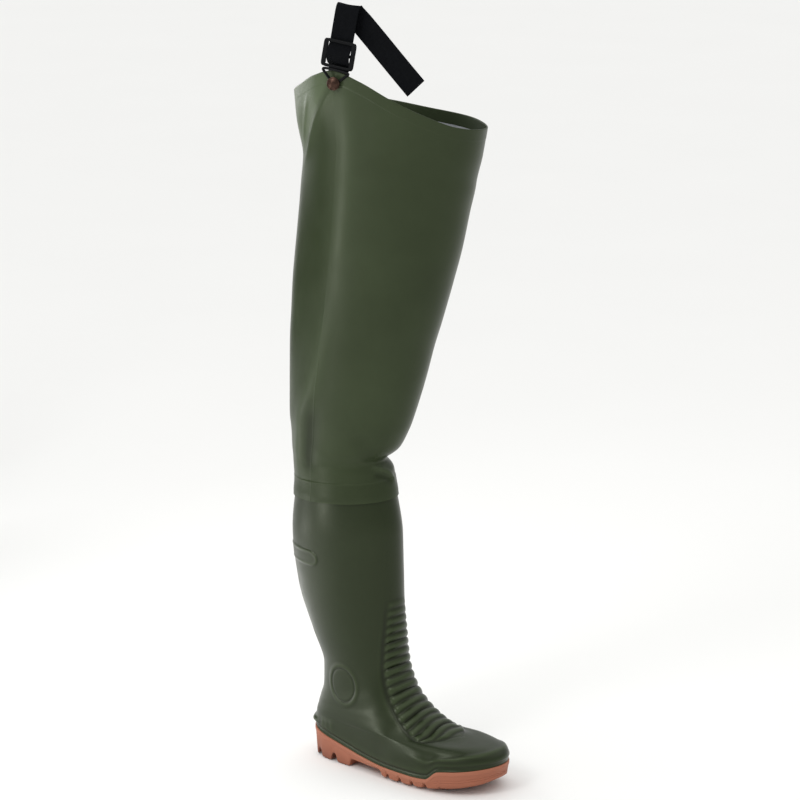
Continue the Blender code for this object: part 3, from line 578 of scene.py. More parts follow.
def toe_relief(row, turn):
    """Soft ridge round the toe, along a line of levels by angle."""
    beyond = row - np.interp(turn, TOE_RIDGE["angle"], TOE_RIDGE["row"])
    return TOE_RIDGE_HEIGHT * bell(beyond / TOE_RIDGE_WIDTH) * smooth((80 - turn) / 25)


def vamp_relief(x, y, z):
    """Sides of the foot between waist and toe: a swell low down and a fall above it."""
    side = smooth((x - 85) / 30) * smooth((185 - x) / 30) * smooth((np.abs(y) - 22) / 12)
    return (VAMP_SWELL * bell((z - 36) / 14) - VAMP_FALL * bell((z - 68) / 14)) * side


def lip_relief(row, x, z, sizes):
    """Lip over the joint with a groove above it."""
    above = z - joint_height(x)
    groove = sizes.lip_groove / MM * bell((above - 5.2) / 2.2)
    return (sizes.lip / MM * smooth((2.6 - above) / 1.2) - groove) * (row < 6)


def boot_relief(points, row, angle, sizes):
    """Height of all the moulded relief over the smooth boot."""
    x, y, z = points[..., 0], points[..., 1], points[..., 2]
    turn = np.abs(turn_between(angle, 0.0))
    back = np.abs(turn_between(angle, 180.0))
    foot = toe_relief(row, turn) + vamp_relief(x, y, z) + lip_relief(row, x, z, sizes)
    leg = rib_relief(row, turn, sizes) + disc_relief(x, y, z, sizes) + tab_relief(z, back, sizes)
    return foot + leg + heel_relief(row, z, back)


def rim_rise(angle):
    """Height of the collar above its mean."""
    return curve(RIM["angle"], RIM["z"], turn_between(angle, 0.0)) - RIM_BASE


def leg_surface(height, angle, offset=0.0):
    """Thigh leg: ellipses along a leaning centre line, moved in and out by the folds, with the collar's rise
    fading down the leg."""
    height, angle = np.broadcast_arrays(np.asarray(height, float), np.asarray(angle, float))
    sections = columns_of(LEG, LEG_COLUMNS)
    centre, depth, width = (curve(sections["z"], sections[name], height) for name in LEG_COLUMNS[1:])
    move = np.zeros_like(height) + offset
    for depth_of_fold, at, half_z, about, half_angle in FOLDS.values():
        share = bell((height - at) / half_z) * bell(turn_between(angle, about) / half_angle)
        move = move + depth_of_fold * share
    x = centre + (depth + move) * np.cos(angle)
    y = (width + move) * np.sin(angle) + LEG_LEAN * (1 - smooth((height - BAND_BOTTOM) / 500.0))
    z = height + rim_rise(angle) * smooth((height - RIM_FROM) / (RIM_BASE - RIM_FROM))
    z = z - weld_drop(angle) * (1 - smooth((height - BAND_BOTTOM) / 110.0))
    return np.stack([x, y, z], -1)


def seam_angles(height, columns):
    """Angles of the leg's grid: columns near the seam lean back with it down the leg."""
    lean = np.radians(curve(SEAM["z"], SEAM["angle"], height) - SEAM_ANGLE)
    return columns + lean * bell(turn_between(columns, SEAM_ANGLE) / 55.0)


def leg_rows(hem_from):
    """Heights of the leg's rows: even, and closer at the weld band's edges and at the hem."""
    even = np.arange(BAND_BOTTOM, RIM_BASE, LEG_ROW_STEP)
    edge = BAND_BOTTOM + np.array([0.3, 0.7, 1.2, 1.8])
    band = BAND_TOP + np.arange(-2.0, 3.1, 0.5)
    hem = hem_from + np.arange(-2.0, 2.1, 0.5)
    return np.unique(np.round(np.concatenate([even, edge, band, hem, [RIM_BASE]]), 2))[:, None]


def seam_weld(rows, columns, hem_from):
    """Share of the seam's height: a narrow bell round the leg, faint on the thigh and gone at the hem."""
    tall = 0.2 + 0.8 * smooth((SEAM_FADE - rows) / 90.0)
    return bell(turn_between(columns, SEAM_ANGLE) / SEAM_WIDTH) * tall * smooth((hem_from - rows) / 8.0)


def leg_steps(rows, angles, hem_from, sizes):
    """Outside of the leg's wall: the weld band stands out, with a thin lower edge and a bead at its top, and
    so does the hem, which fades where the strap draws the collar taut."""
    slack = 0.15 + 0.85 * smooth((np.abs(turn_between(angles, TAUT_ANGLE)) - 32) / 20)
    band = sizes.band_step / MM * smooth((rows - BAND_TOP + 0.6) / 2.4)
    hem = sizes.hem_step / MM * smooth((rows - hem_from + 0.6) / 2.4) * slack
    thin = 0.7 * (1 - smooth((rows - BAND_BOTTOM) / 9.0))
    bead = 0.15 * bell((rows - BAND_TOP) / 1.2)
    return LEG_WALL + JOINT_GAP - band + hem - thin + bead


def leg_tone(rows, angles, seam, creases):
    """Tone of the cloth: painted highlights make the ridges, the band's edges and the taut facet behind the
    strap paler, painted shade makes the troughs deeper; the seam is paler and the weld band deeper."""
    edges = bell((rows - BAND_TOP) / 1.2) + bell((rows - BAND_BOTTOM - 1.0) / 1.2)
    band = 1 - smooth((rows - BAND_TOP) / 3.0)
    turn = turn_between(angles, -180.0)
    heights, turns = FACET_EDGE
    end = curve(heights[::-1], np.array(turns[::-1]) + 180.0, rows)
    facet = smooth((end - turn) / 9.0) * smooth((rows - FACET_FROM) / 40.0) * smooth((turn + 45.0) / 45.0)
    folds = np.where(creases > 0, CREST_TINT, TROUGH_TINT) * creases
    return folds + EDGE_TINT * edges - BAND_TINT * band + FACET_TINT * facet + SEAM_TINT * seam


def ring_quads(rows, columns, wrap_rows=False):
    """Quads of a grid whose columns close round, and whose rows close too when asked."""
    i = np.arange(rows if wrap_rows else rows - 1)[:, None]
    j = np.arange(columns)[None, :]
    up, beside = (i + 1) % rows, (j + 1) % columns
    corners = [i * columns + j, i * columns + beside, up * columns + beside, up * columns + j]
    return np.stack(corners, -1).reshape(-1, 4)


def facing_out(points, quads):
    """The quads, turned over if the closed surface's signed volume is negative."""
    a, b, c, d = (points[quads[:, k]] for k in range(4))
    volume = (np.cross(a, b) * c).sum() + (np.cross(a, c) * d).sum()
    return quads if volume > 0 else quads[:, ::-1]


def add_piece(name, shells, materials, nodes, sharp=40.0):
    """Object from closed shells, each with points in millimetres, quads, and optional end caps, material zone
    per quad and named values per point. It rides on the boot's body and stands for the given nodes."""
    points = np.concatenate([shell["points"].reshape(-1, 3) for shell in shells]) * MM
    faces, zones, first = [], [], 0
    for shell in shells:
        flat = shell["points"].reshape(-1, 3)
        quads = facing_out(flat, shell["quads"])
        turned = quads is not shell["quads"]
        faces += (quads + first).tolist()
        zones.append(np.broadcast_to(shell.get("zone", 0), len(quads)))
        for cap in shell.get("caps", ()):
            faces.append([first + v for v in (cap[::-1] if turned else cap)])
            zones.append(np.zeros(1, int))
        first += len(flat)
    mesh = bpy.data.meshes.new(name)
    mesh.from_pydata(points.tolist(), [], faces)
    for key in shells[0].get("values", {}):
        values = np.concatenate([np.ravel(shell["values"][key]) for shell in shells])
        mesh.attributes.new(key, "FLOAT", "POINT").data.foreach_set("value", values.astype(np.float32))
    for material in materials:
        mesh.materials.append(material)
    mesh.polygons.foreach_set("material_index", np.concatenate(zones).astype(np.int32))
    work = bmesh.new()
    work.from_mesh(mesh)
    bmesh.ops.remove_doubles(work, verts=work.verts, dist=1e-6)
    bmesh.ops.recalc_face_normals(work, faces=work.faces)
    work.to_mesh(mesh)
    work.free()
    mesh.shade_smooth()
    mesh.set_sharp_from_angle(angle=math.radians(sharp))
    piece = bpy.data.objects.new(name, mesh)
    bpy.context.scene.collection.objects.link(piece)
    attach(piece, BODY)
    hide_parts(*nodes)
    return piece


def rounded(profile, radii, steps=5):
    """Polyline along the first axis with rounded corners: a corner with a radius becomes a quadratic curve
    between the points that far before and after it, or less far where the stretch is short."""
    share = np.linspace(0.0, 1.0, steps)[:, None, None]
    rows = []
    for i, radius in enumerate(radii):
        here = profile[i]
        if radius == 0:
            rows.append(here[None])
            continue
        ends = []
        for other in (profile[i - 1], profile[i + 1]):
            way = other - here
            size = np.linalg.norm(way, axis=-1, keepdims=True)
            ends.append(here + way * np.minimum(radius / np.maximum(size, 1e-9), 0.45))
        rows.append((1 - share) ** 2 * ends[0] + 2 * share * (1 - share) * here + share ** 2 * ends[1])
    return np.concatenate(rows)


def foot_outline(theta, margin):
    """Outline of the foot at the feather edge, moved outward by a margin along its own normal."""
    edge = boot_smooth(0.0, theta)[..., :2]
    ahead = boot_smooth(0.0, theta + 1e-3)[..., :2] - boot_smooth(0.0, theta - 1e-3)[..., :2]
    return edge + margin * unit(np.stack([ahead[..., 1], -ahead[..., 0]], -1))


def spine(edge):
    """Point of the foot's middle line that an outline point runs to, turned round the ends of that line."""
    x = np.clip(edge[..., 0], edge[..., 0].min() + 30.0, edge[..., 0].max() - 46.0)
    return np.stack([x, swing(x)], -1)


def groove_arch(x):
    """Height of the grooves between the lugs: a rounded arch over each groove's width."""
    height = np.zeros_like(x)
    for at, width, depth in zip(GROOVES["x"], GROOVES["width"], GROOVES["depth"]):
        u = np.clip(np.abs(x - at) / (width / 2), 0.0, 1.0)
        height = np.maximum(height, depth * (1 - u ** 2.2) ** 0.5)
    return height


def tread_height(x):
    """Underside of the sole: heel, waist, forefoot and toe spring with the grooves, rounded over 2 mm."""
    taps = [np.maximum(np.interp(x + step, TREAD["x"], TREAD["z"]), groove_arch(x + step))
            for step in np.linspace(-1.0, 1.0, 7)]
    return np.mean(taps, axis=0)


def cup_floor(x):
    """Floor of the sole's cup under the footbed."""
    return joint_height(x) - np.maximum(joint_height(x) - curve(CUP["x"], CUP["z"], x), SHALLOWEST_CUP)


def loop_of(half_turn):
    """Angles right round the outline from those of its inner half."""
    return np.concatenate([half_turn, -half_turn[1:-1][::-1]])


def lifted(flat, height):
    """Outline points with a height each."""
    return np.concatenate([flat, np.broadcast_to(height, flat.shape[:-1])[..., None]], -1)


def closed_spline(values, count):
    """Round closed curve through the values: a Catmull-Rom cubic between each two."""
    v = np.asarray(values, float)
    t = np.linspace(0, len(v), count, endpoint=False)
    i = t.astype(int)
    u = t - i
    p = [v[(i + d) % len(v)] for d in (-1, 0, 1, 2)]
    return 0.5 * (2 * p[1] + (p[2] - p[0]) * u + (2 * p[0] - 5 * p[1] + 4 * p[2] - p[3]) * u ** 2
                  + (3 * p[1] - p[0] - 3 * p[2] + p[3]) * u ** 3)


def soft_box(half_width, half_height, exponent, count):
    """Section with round corners: a superellipse with the given exponent."""
    tour = np.arange(count) * 2 * math.pi / count
    c, s = np.cos(tour), np.sin(tour)
    wide = half_width * np.sign(c) * np.abs(c) ** (2 / exponent)
    high = half_height * np.sign(s) * np.abs(s) ** (2 / exponent)
    return wide, high


def tube(path, section, side, closed):
    """Section carried along a path: each point is the path point plus its two coordinates times the side
    vector and the vector square to it."""
    if closed:
        ahead = np.roll(path, -1, 0) - np.roll(path, 1, 0)
    else:
        ahead = np.gradient(path, axis=0)
    lean = (side * ahead).sum(-1) / (ahead ** 2).sum(-1)
    side = unit(np.broadcast_to(side, path.shape) - ahead * lean[:, None])
    flat = unit(np.cross(side, ahead))
    a, b = (np.broadcast_to(v, (len(path), v.shape[-1])) for v in section)
    points = path[:, None] + a[..., None] * side[:, None] + b[..., None] * flat[:, None]
    rows, columns = points.shape[:2]
    shell = {"points": points, "quads": ring_quads(rows, columns, closed)}
    if not closed:
        last = (rows - 1) * columns
        shell["caps"] = [list(range(columns))[::-1], list(range(last, last + columns))]
    return shell


def lathe(profile_rows, centre, axis, steps):
    """Turned piece: a smooth profile of radius and height carried round an axis."""
    turned = columns_of(profile_rows, TURNED_COLUMNS)
    stops = np.arange(len(profile_rows), dtype=float)
    share = np.linspace(0, stops[-1], 6 * (len(stops) - 1) + 1)
    radius, height = (curve(stops, turned[name], share) for name in TURNED_COLUMNS)
    one = unit(np.cross(axis, UP))
    two = np.cross(axis, one)
    tour = np.arange(steps) * 2 * math.pi / steps
    circle = np.cos(tour)[:, None] * one + np.sin(tour)[:, None] * two
    points = centre + radius[:, None, None] * circle + height[:, None, None] * axis
    return {"points": points, "quads": ring_quads(len(share), steps)}


SPOT = leg_surface(RIM_BASE - BUTTON_BELOW_RIM, math.radians(BUTTON_ANGLE),
                   LEG_WALL + JOINT_GAP - BUTTON_SINK)
FACE = math.radians(STRAP_FACES)
ALONG = np.array([math.cos(FACE), math.sin(FACE), 0.0])
OUT = np.array([math.sin(FACE), -math.cos(FACE), 0.0])
UP = np.array([0.0, 0.0, 1.0])
LEAN = math.radians(SLIDE_LEAN)
SLIDE_ALONG = math.cos(LEAN) * ALONG - math.sin(LEAN) * UP
SLIDE_UP = math.sin(LEAN) * ALONG + math.cos(LEAN) * UP


def local(along, up, outward):
    """Points from the button's foot, in the frame that the strap faces."""
    along, up, outward = (np.asarray(v, float)[..., None] for v in (along, up, outward))
    return SPOT + along * ALONG + up * UP + outward * OUT


def strap_path(per_stop):
    """Centre line and side vector of the strap: cubics through its stations."""
    stops = np.arange(len(STRAP), dtype=float)
    at = np.linspace(0, stops[-1], per_stop * (len(STRAP) - 1) + 1)
    strap = {name: curve(stops, values, at) for name, values in columns_of(STRAP, STRAP_COLUMNS).items()}
    path = local(strap["along"], strap["up"], strap["out"])
    turn, roll = np.radians(strap["turn"])[:, None], np.radians(strap["roll"])[:, None]
    side = np.cos(roll) * (np.cos(turn) * ALONG - np.sin(turn) * UP) + np.sin(roll) * OUT
    return at, path, side


def add(tree, kind, sockets=None, **settings):
    """A new node with its settings; a socket takes a value, or the output that is linked to it."""
    made = tree.nodes.new(kind)
    for key, value in settings.items():
        setattr(made, key, value)
    for key, value in (sockets or {}).items():
        if isinstance(value, bpy.types.NodeSocket):
            tree.links.new(value, made.inputs[key])
        else:
            made.inputs[key].default_value = value
    return made


def start(name, **sockets):
    """A new material with its shader's plain values; gives its tree, shader and object coordinates too."""
    material = bpy.data.materials.new(name)
    material.use_nodes = True
    tree = material.node_tree
    shader = tree.nodes["Principled BSDF"]
    for key, value in sockets.items():
        shader.inputs[key.replace("_", " ")].default_value = value
    return material, tree, shader, add(tree, "ShaderNodeTexCoord").outputs["Object"]


def rgba(value):
    """A colour with full opacity; the output of another node passes as it is."""
    return value if isinstance(value, bpy.types.NodeSocket) else (*value, 1.0)


def attribute(tree, name):
    """Named value per point of the mesh."""
    return add(tree, "ShaderNodeAttribute", attribute_name=name).outputs["Fac"]


def noise(tree, place, size, detail, **more):
    """Cloudy noise whose broadest patches have the given size in metres."""
    sockets = {"Vector": place, "Scale": 1 / size, "Detail": detail, **more}
    return add(tree, "ShaderNodeTexNoise", sockets).outputs["Fac"]


def waves(tree, place, spacing, way, distortion, detail):
    """Soft bands across an axis, one to each spacing in metres."""
    scale = math.pi / (10 * spacing)
    sockets = {"Vector": place, "Scale": scale, "Distortion": distortion, "Detail": detail}
    return add(tree, "ShaderNodeTexWave", sockets, wave_type="BANDS", bands_direction=way).outputs["Fac"]


def combine(tree, operation, *values):
    """Result of an operation on values and outputs."""
    return add(tree, "ShaderNodeMath", dict(enumerate(values)), operation=operation).outputs[0]


def remap(tree, value, low, high, to_low=0.0, to_high=1.0):
    """A span of a value drawn onto another span, and held at its ends beyond it."""
    sockets = {"Value": value, "From Min": low, "From Max": high, "To Min": to_low, "To Max": to_high}
    return add(tree, "ShaderNodeMapRange", sockets).outputs["Result"]


def blend(tree, share, one, two):
    """Two colours mixed by a share."""
    return add(tree, "ShaderNodeMix", {0: share, 6: rgba(one), 7: rgba(two)}, data_type="RGBA").outputs[2]


def feed(tree, shader, **outputs):
    """Links outputs to the shader's sockets of the same names."""
    for key, output in outputs.items():
        tree.links.new(output, shader.inputs[key.replace("_", " ")])


def emboss(tree, shader, height, strength, depth):
    """Gives the shader a bump with the given depth in metres."""
    bump = add(tree, "ShaderNodeBump", {"Strength": strength, "Distance": depth, "Height": height})
    feed(tree, shader, Normal=bump.outputs["Normal"])


def moulded_pvc(name, body, deep, wear_and_highlight, roughness, sheen):
    """Injection-moulded soft PVC: an even, slightly waxy skin with a satin gloss. The mould's fine spark
    grain breaks up the highlight. The tone per point paints recesses deeper in colour and crests paler."""
    material, tree, shader, place = start(name, Specular_IOR_Level=0.28, Specular_Tint=rgba(sheen))
    cloud = remap(tree, noise(tree, place, 0.055, 3.0), 0.3, 0.7, -0.12, 0.12)
    mark = combine(tree, "ADD", attribute(tree, "tone"), cloud)
    # The deep colour goes where the tone is low and the paler one where it is high; on the boot these are
    # painted shade in recesses and painted highlights on crests.
    low = blend(tree, remap(tree, mark, -0.1, -1.0), body, deep)
    paint = blend(tree, remap(tree, mark, 0.02, 1.0), low, wear_and_highlight)
    haze = noise(tree, place, 0.018, 4.0)
    gloss = remap(tree, haze, 0.3, 0.7, roughness - 0.02, roughness + 0.05)
    feed(tree, shader, Base_Color=paint, Roughness=gloss)
    # Spark grain of 0.4 mm, drawn at 1.1 mm so that it shows.
    emboss(tree, shader, noise(tree, place, 0.0011, 2.0), 0.05, 0.0002)
    return material


def coated_cloth(body, deep, pale, highlight):
    """Polyester cloth with a calendered PVC skin: satin and supple, with long soft highlights. The cloth's
    threads print faintly through the skin. Painted highlights make ridges, band edges and the facet behind
    the strap paler, and painted shade makes troughs deeper and rougher."""
    material, tree, shader, place = start("coated_cloth", Specular_IOR_Level=0.17, Specular_Tint=rgba(SHEEN))
    tone = attribute(tree, "tone")
    plain = blend(tree, remap(tree, noise(tree, place, 0.09, 3.0), 0.1, 0.9), body, pale)
    light = blend(tree, remap(tree, tone, 0.0, 1.0), plain, highlight)
    hollow = remap(tree, tone, -0.08, -0.85)
    gloss = remap(tree, noise(tree, place, 0.03, 4.0), 0.3, 0.7, 0.3, 0.36)
    dull = combine(tree, "MULTIPLY_ADD", hollow, 0.1, gloss)
    feed(tree, shader, Base_Color=blend(tree, hollow, light, deep), Roughness=dull)
    # Threads of 0.5 mm, drawn at 1.5 mm so that they show.
    threads = [waves(tree, place, 0.0015, way, 0.6, 1.0) for way in ("Z", "X")]
    emboss(tree, shader, combine(tree, "ADD", *threads), 0.06, 0.0002)
    return material


def jersey_lining(body, seam):
    """Knitted polyester jersey inside the leg: matt and soft, with fine rows of stitches and a darker tape
    over the seam."""
    material, tree, shader, place = start("jersey_lining", Roughness=0.9, Sheen_Weight=0.2,
                                          Sheen_Roughness=0.6)
    wear_and_highlight = remap(tree, noise(tree, place, 0.04, 4.0), 0.2, 0.8, 0.0, 0.18)
    grey = blend(tree, wear_and_highlight, body, seam)
    feed(tree, shader, Base_Color=blend(tree, attribute(tree, "tape"), grey, seam))
    emboss(tree, shader, waves(tree, place, 0.0024, "Z", 1.5, 2.0), 0.25, 0.0003)
    return material


def felt_bed(body):
    """Needled felt: matt, fibrous and slightly mottled."""
    material, tree, shader, place = start("needled_felt", Roughness=0.95, Sheen_Weight=0.3,
                                          Sheen_Roughness=0.7)
    fibre = noise(tree, place, 0.002, 6.0, Distortion=1.2)
    dark = tuple(0.62 * v for v in body)
    feed(tree, shader, Base_Color=blend(tree, fibre, dark, body))
    emboss(tree, shader, fibre, 0.5, 0.0005)
    return material


def woven_webbing(body):
    """Polyamide webbing: dense warp cords side by side with the weft's short floats across them, matt with a
    faint sheen along the threads, partly its own shine and partly a painted sheen of paler colour on the
    raised threads. Its pattern follows the strap's length and width."""
    material, tree, shader, place = start("woven_webbing", Roughness=0.75, Specular_IOR_Level=0.06)
    # Cords of 1 mm and floats of 1.4 mm, drawn at 1.9 and 2.6 mm so that they show.
    ways = []
    for name, spacing in (("across", 0.0019), ("along", 0.0026)):
        turn = combine(tree, "MULTIPLY", attribute(tree, name), 2 * math.pi / spacing)
        ways.append(combine(tree, "SINE", turn))
    height = remap(tree, combine(tree, "MULTIPLY", *ways), -1.0, 1.0)
    share = combine(tree, "MULTIPLY", height, noise(tree, place, 0.004, 4.0))
    # Painted sheen: the raised threads take the paler colour.
    pale = tuple(2.6 * v + 0.004 for v in body)
    feed(tree, shader, Base_Color=blend(tree, share, body, pale))
    emboss(tree, shader, height, 0.6, 0.0004)
    return material


def lacquered_steel(body):
    """Stamped steel with a black stoved lacquer: a deep, fairly smooth coat with slight orange peel."""
    material, tree, shader, place = start("black_lacquered_steel", Specular_IOR_Level=0.12,
                                          Base_Color=rgba(body))
    peel = noise(tree, place, 0.0025, 2.0)
    feed(tree, shader, Roughness=remap(tree, peel, 0.0, 1.0, 0.4, 0.58))
    emboss(tree, shader, peel, 0.15, 0.0002)
    return material


def plated_metal(name, body, dark, roughness, patina):
    """Plated cap metal: a tumbled finish whose patina lies in cloudy patches and dulls the shine."""
    material, tree, shader, place = start(name, Metallic=1.0)
    cloud = noise(tree, place, 0.005, 5.0)
    paint = blend(tree, remap(tree, cloud, 0.35, 0.65, 0.0, patina), body, dark)
    gloss = remap(tree, cloud, 0.0, 1.0, roughness - 0.1, roughness + 0.12)
    feed(tree, shader, Base_Color=paint, Roughness=gloss)
    return material


def floor_paint(body):
    """Studio floor: matt pale paint with faint broad clouds."""
    material, tree, shader, place = start("floor_paint", Roughness=0.85)
    pale = tuple(min(1.0, 1.02 * v) for v in body)
    feed(tree, shader, Base_Color=blend(tree, noise(tree, place, 0.4, 2.0), body, pale))
    return material


def stage_object(name, points, faces, material):
    """Plain object of the stage, with points in metres."""
    mesh = bpy.data.meshes.new(name)
    mesh.from_pydata(points, [], faces)
    mesh.materials.append(material)
    made = bpy.data.objects.new(name, mesh)
    bpy.context.scene.collection.objects.link(made)
    return made


class WADER_OT_boot(bpy.types.Operator):
    """Moulded boot with its ribs, discs, tab and lip"""
    bl_idname = "wader.boot"
    bl_label = "Moulded boot"

    def execute(self, context):
        sizes, tints = context.scene.wader_sizes, context.scene.wader_colours
        even = np.linspace(0, 2 * math.pi, BOOT_COLUMNS_ROUND, endpoint=False)
        angles = even + COLUMN_BIAS * np.sin(2 * even)
        rows = boot_rows(BOOT_ROWS_OUTSIDE)[:, None]
        base = even_flank(boot_smooth(rows, angles), rows, angles)
        relief = boot_relief(base, rows, angles, sizes)
        outer = base + normals(base) * relief[..., None]
        # Painted shade and highlight: the relief's height over its local mean paints recesses darker and
        # crests paler.
        tone = np.clip((relief - blur(relief, 4)) / TONE_RELIEF, -1.0, 1.0)
        inner = boot_smooth(boot_rows(BOOT_ROWS_INSIDE)[:, None], angles)
        inner = inner - normals(inner) * BOOT_WALL
        inner[0, :, 2] = np.maximum(outer[0, :, 2], joint_height(inner[0, :, 0]) + JOINT_GAP)
        inner[-1, :, 2] = outer[-1, :, 2]
        points = np.concatenate([outer, inner[::-1]])
        shell = {"points": points, "quads": ring_quads(*points.shape[:2], wrap_rows=True),
                 "values": {"tone": np.concatenate([tone, np.zeros(inner.shape[:2])])}}
        green = moulded_pvc("green_moulded_pvc", tints.green, tints.green_recess_shade, tints.green_crest_highlight,
                            BOOT_GLOSS, SHEEN)
        add_piece("moulded_boot", [shell], [green], ["boot"], sharp=60.0)
        return {"FINISHED"}


class WADER_OT_sole(bpy.types.Operator):
    """Cup sole with its side band, lugs and toe spring, and the footbed in it"""
    bl_idname = "wader.sole"
    bl_label = "Cup sole and footbed"

    def execute(self, context):
        tints = context.scene.wader_colours
        share = np.array([*GROOVE_MARKS, 0.0, *(-mark for mark in GROOVE_MARKS)])
        marks = [at + width / 2 * share for at, width in zip(GROOVES["x"], GROOVES["width"])]
        marks.append(np.add.outer(np.array(TREAD["x"][1:-1]), (-1.0, -0.4, 0.4, 1.0)).ravel())
        reach = np.clip((np.concatenate(marks) - FEATHER_MIDDLE) / FEATHER_HALF, -1, 1)
        turns = np.append(np.linspace(0, math.pi, 201), np.arccos(reach))
        theta = loop_of(np.unique(np.round(turns, 4)))

        def ring(inset, height):
            flat = foot_outline(theta, SOLE_MARGIN - inset)
            return lifted(flat, height(flat[:, 0]))

        edge = foot_outline(theta, SOLE_MARGIN)
        middle = spine(edge)
        tall = joint_height(edge[:, 0]) - tread_height(edge[:, 0])
        band = np.minimum(SIDE_BAND, tall * 0.35)

        def crown(x):
            return np.minimum(curve(CROWN["x"], CROWN["z"], x), (joint_height(x) - tread_height(x)) * 0.4)

        top = [lifted(middle, cup_floor(middle[:, 0])), ring(RIM_WIDTH + RIM_SLOPE, cup_floor),
               ring(RIM_WIDTH, joint_height), ring(0.0, joint_height)]
        step = [ring(0.0, lambda x: joint_height(x) - band),
                ring(SIDE_STEP, lambda x: joint_height(x) - band - 1.0)]
        foot = ring(SIDE_TAPER, lambda x: tread_height(x) + crown(x))
        sole_in = ring(SIDE_TAPER + CROWN_WIDTH, tread_height)
        inward = lifted(foot_outline(theta, -1.0) - foot_outline(theta, 0.0), 0.0)
        toe = smooth((edge[:, :1] - 175) / 20)
        wall = [step[1] + (foot - step[1]) * s + inward * toe * depth
                for s, depth in zip(WALL["share"], WALL["depth"])]
        tread = []
        for s in (0.2, 0.4, 0.6, 0.8, 1.0):
            flat = sole_in[:, :2] + (middle - sole_in[:, :2]) * s
            tread.append(lifted(flat, tread_height(flat[:, 0])))
        between = [foot + (sole_in - foot) * s for s in (0.35, 0.7)]
        profile = np.stack(top + step + wall + [foot] + between + [sole_in] + tread)
        rim_radii = [0, 1.0, 0.8, 1.2, 0.5, 0.5] + [0] * len(wall)
        radii = rim_radii + [2.4] + [0] * len(between) + [3.0] + [0] * len(tread)
        points = rounded(profile, radii)
        # Tone of the sole's side: paler at the top, darker towards the bottom and at the heel, and painted
        # shade in the grooves between the lugs.
        low = (joint_height(points[..., 0]) - points[..., 2]) / 20.0
        hidden = smooth((tread_height(points[..., 0]) + 2.5 - points[..., 2]) / 2.0)
        heel = 0.25 * smooth((60.0 - points[..., 0]) / 40.0)
        arch = hidden * groove_arch(points[..., 0]) / 8.0
        shell = {"points": points, "quads": ring_quads(*points.shape[:2]),
                 "values": {"tone": np.clip(0.3 - 0.5 * low - arch - heel, -1.0, 1.0)}}
        terracotta = moulded_pvc("terracotta_moulded_pvc", tints.terracotta, tints.terracotta_deep,
                                 tints.terracotta_pale, SOLE_GLOSS, NO_TINT)
        add_piece("cup_sole", [shell], [terracotta], ["outsole"], sharp=50.0)

        theta = loop_of(np.linspace(0, math.pi, 121))
        margin = SOLE_MARGIN - RIM_WIDTH - FOOTBED_CLEAR
        edge = foot_outline(theta, margin)
        flat = foot_outline(theta, margin - FOOTBED_FLAT)
        middle = spine(edge)
        under = cup_floor(edge[:, 0]) + JOINT_GAP
        heart = cup_floor(middle[:, 0]) + JOINT_GAP
        bed = [lifted(middle, heart), lifted(edge, under), lifted(edge, under + FOOTBED_THICK),
               lifted(flat, under + FOOTBED_THICK), lifted(middle, heart + FOOTBED_THICK)]
        points = rounded(np.stack(bed), [0, 0.5, 1.6, 0, 0])
        shell = {"points": points, "quads": ring_quads(*points.shape[:2])}
        add_piece("footbed", [shell], [felt_bed(tints.felt)], ["insole"])
        return {"FINISHED"}


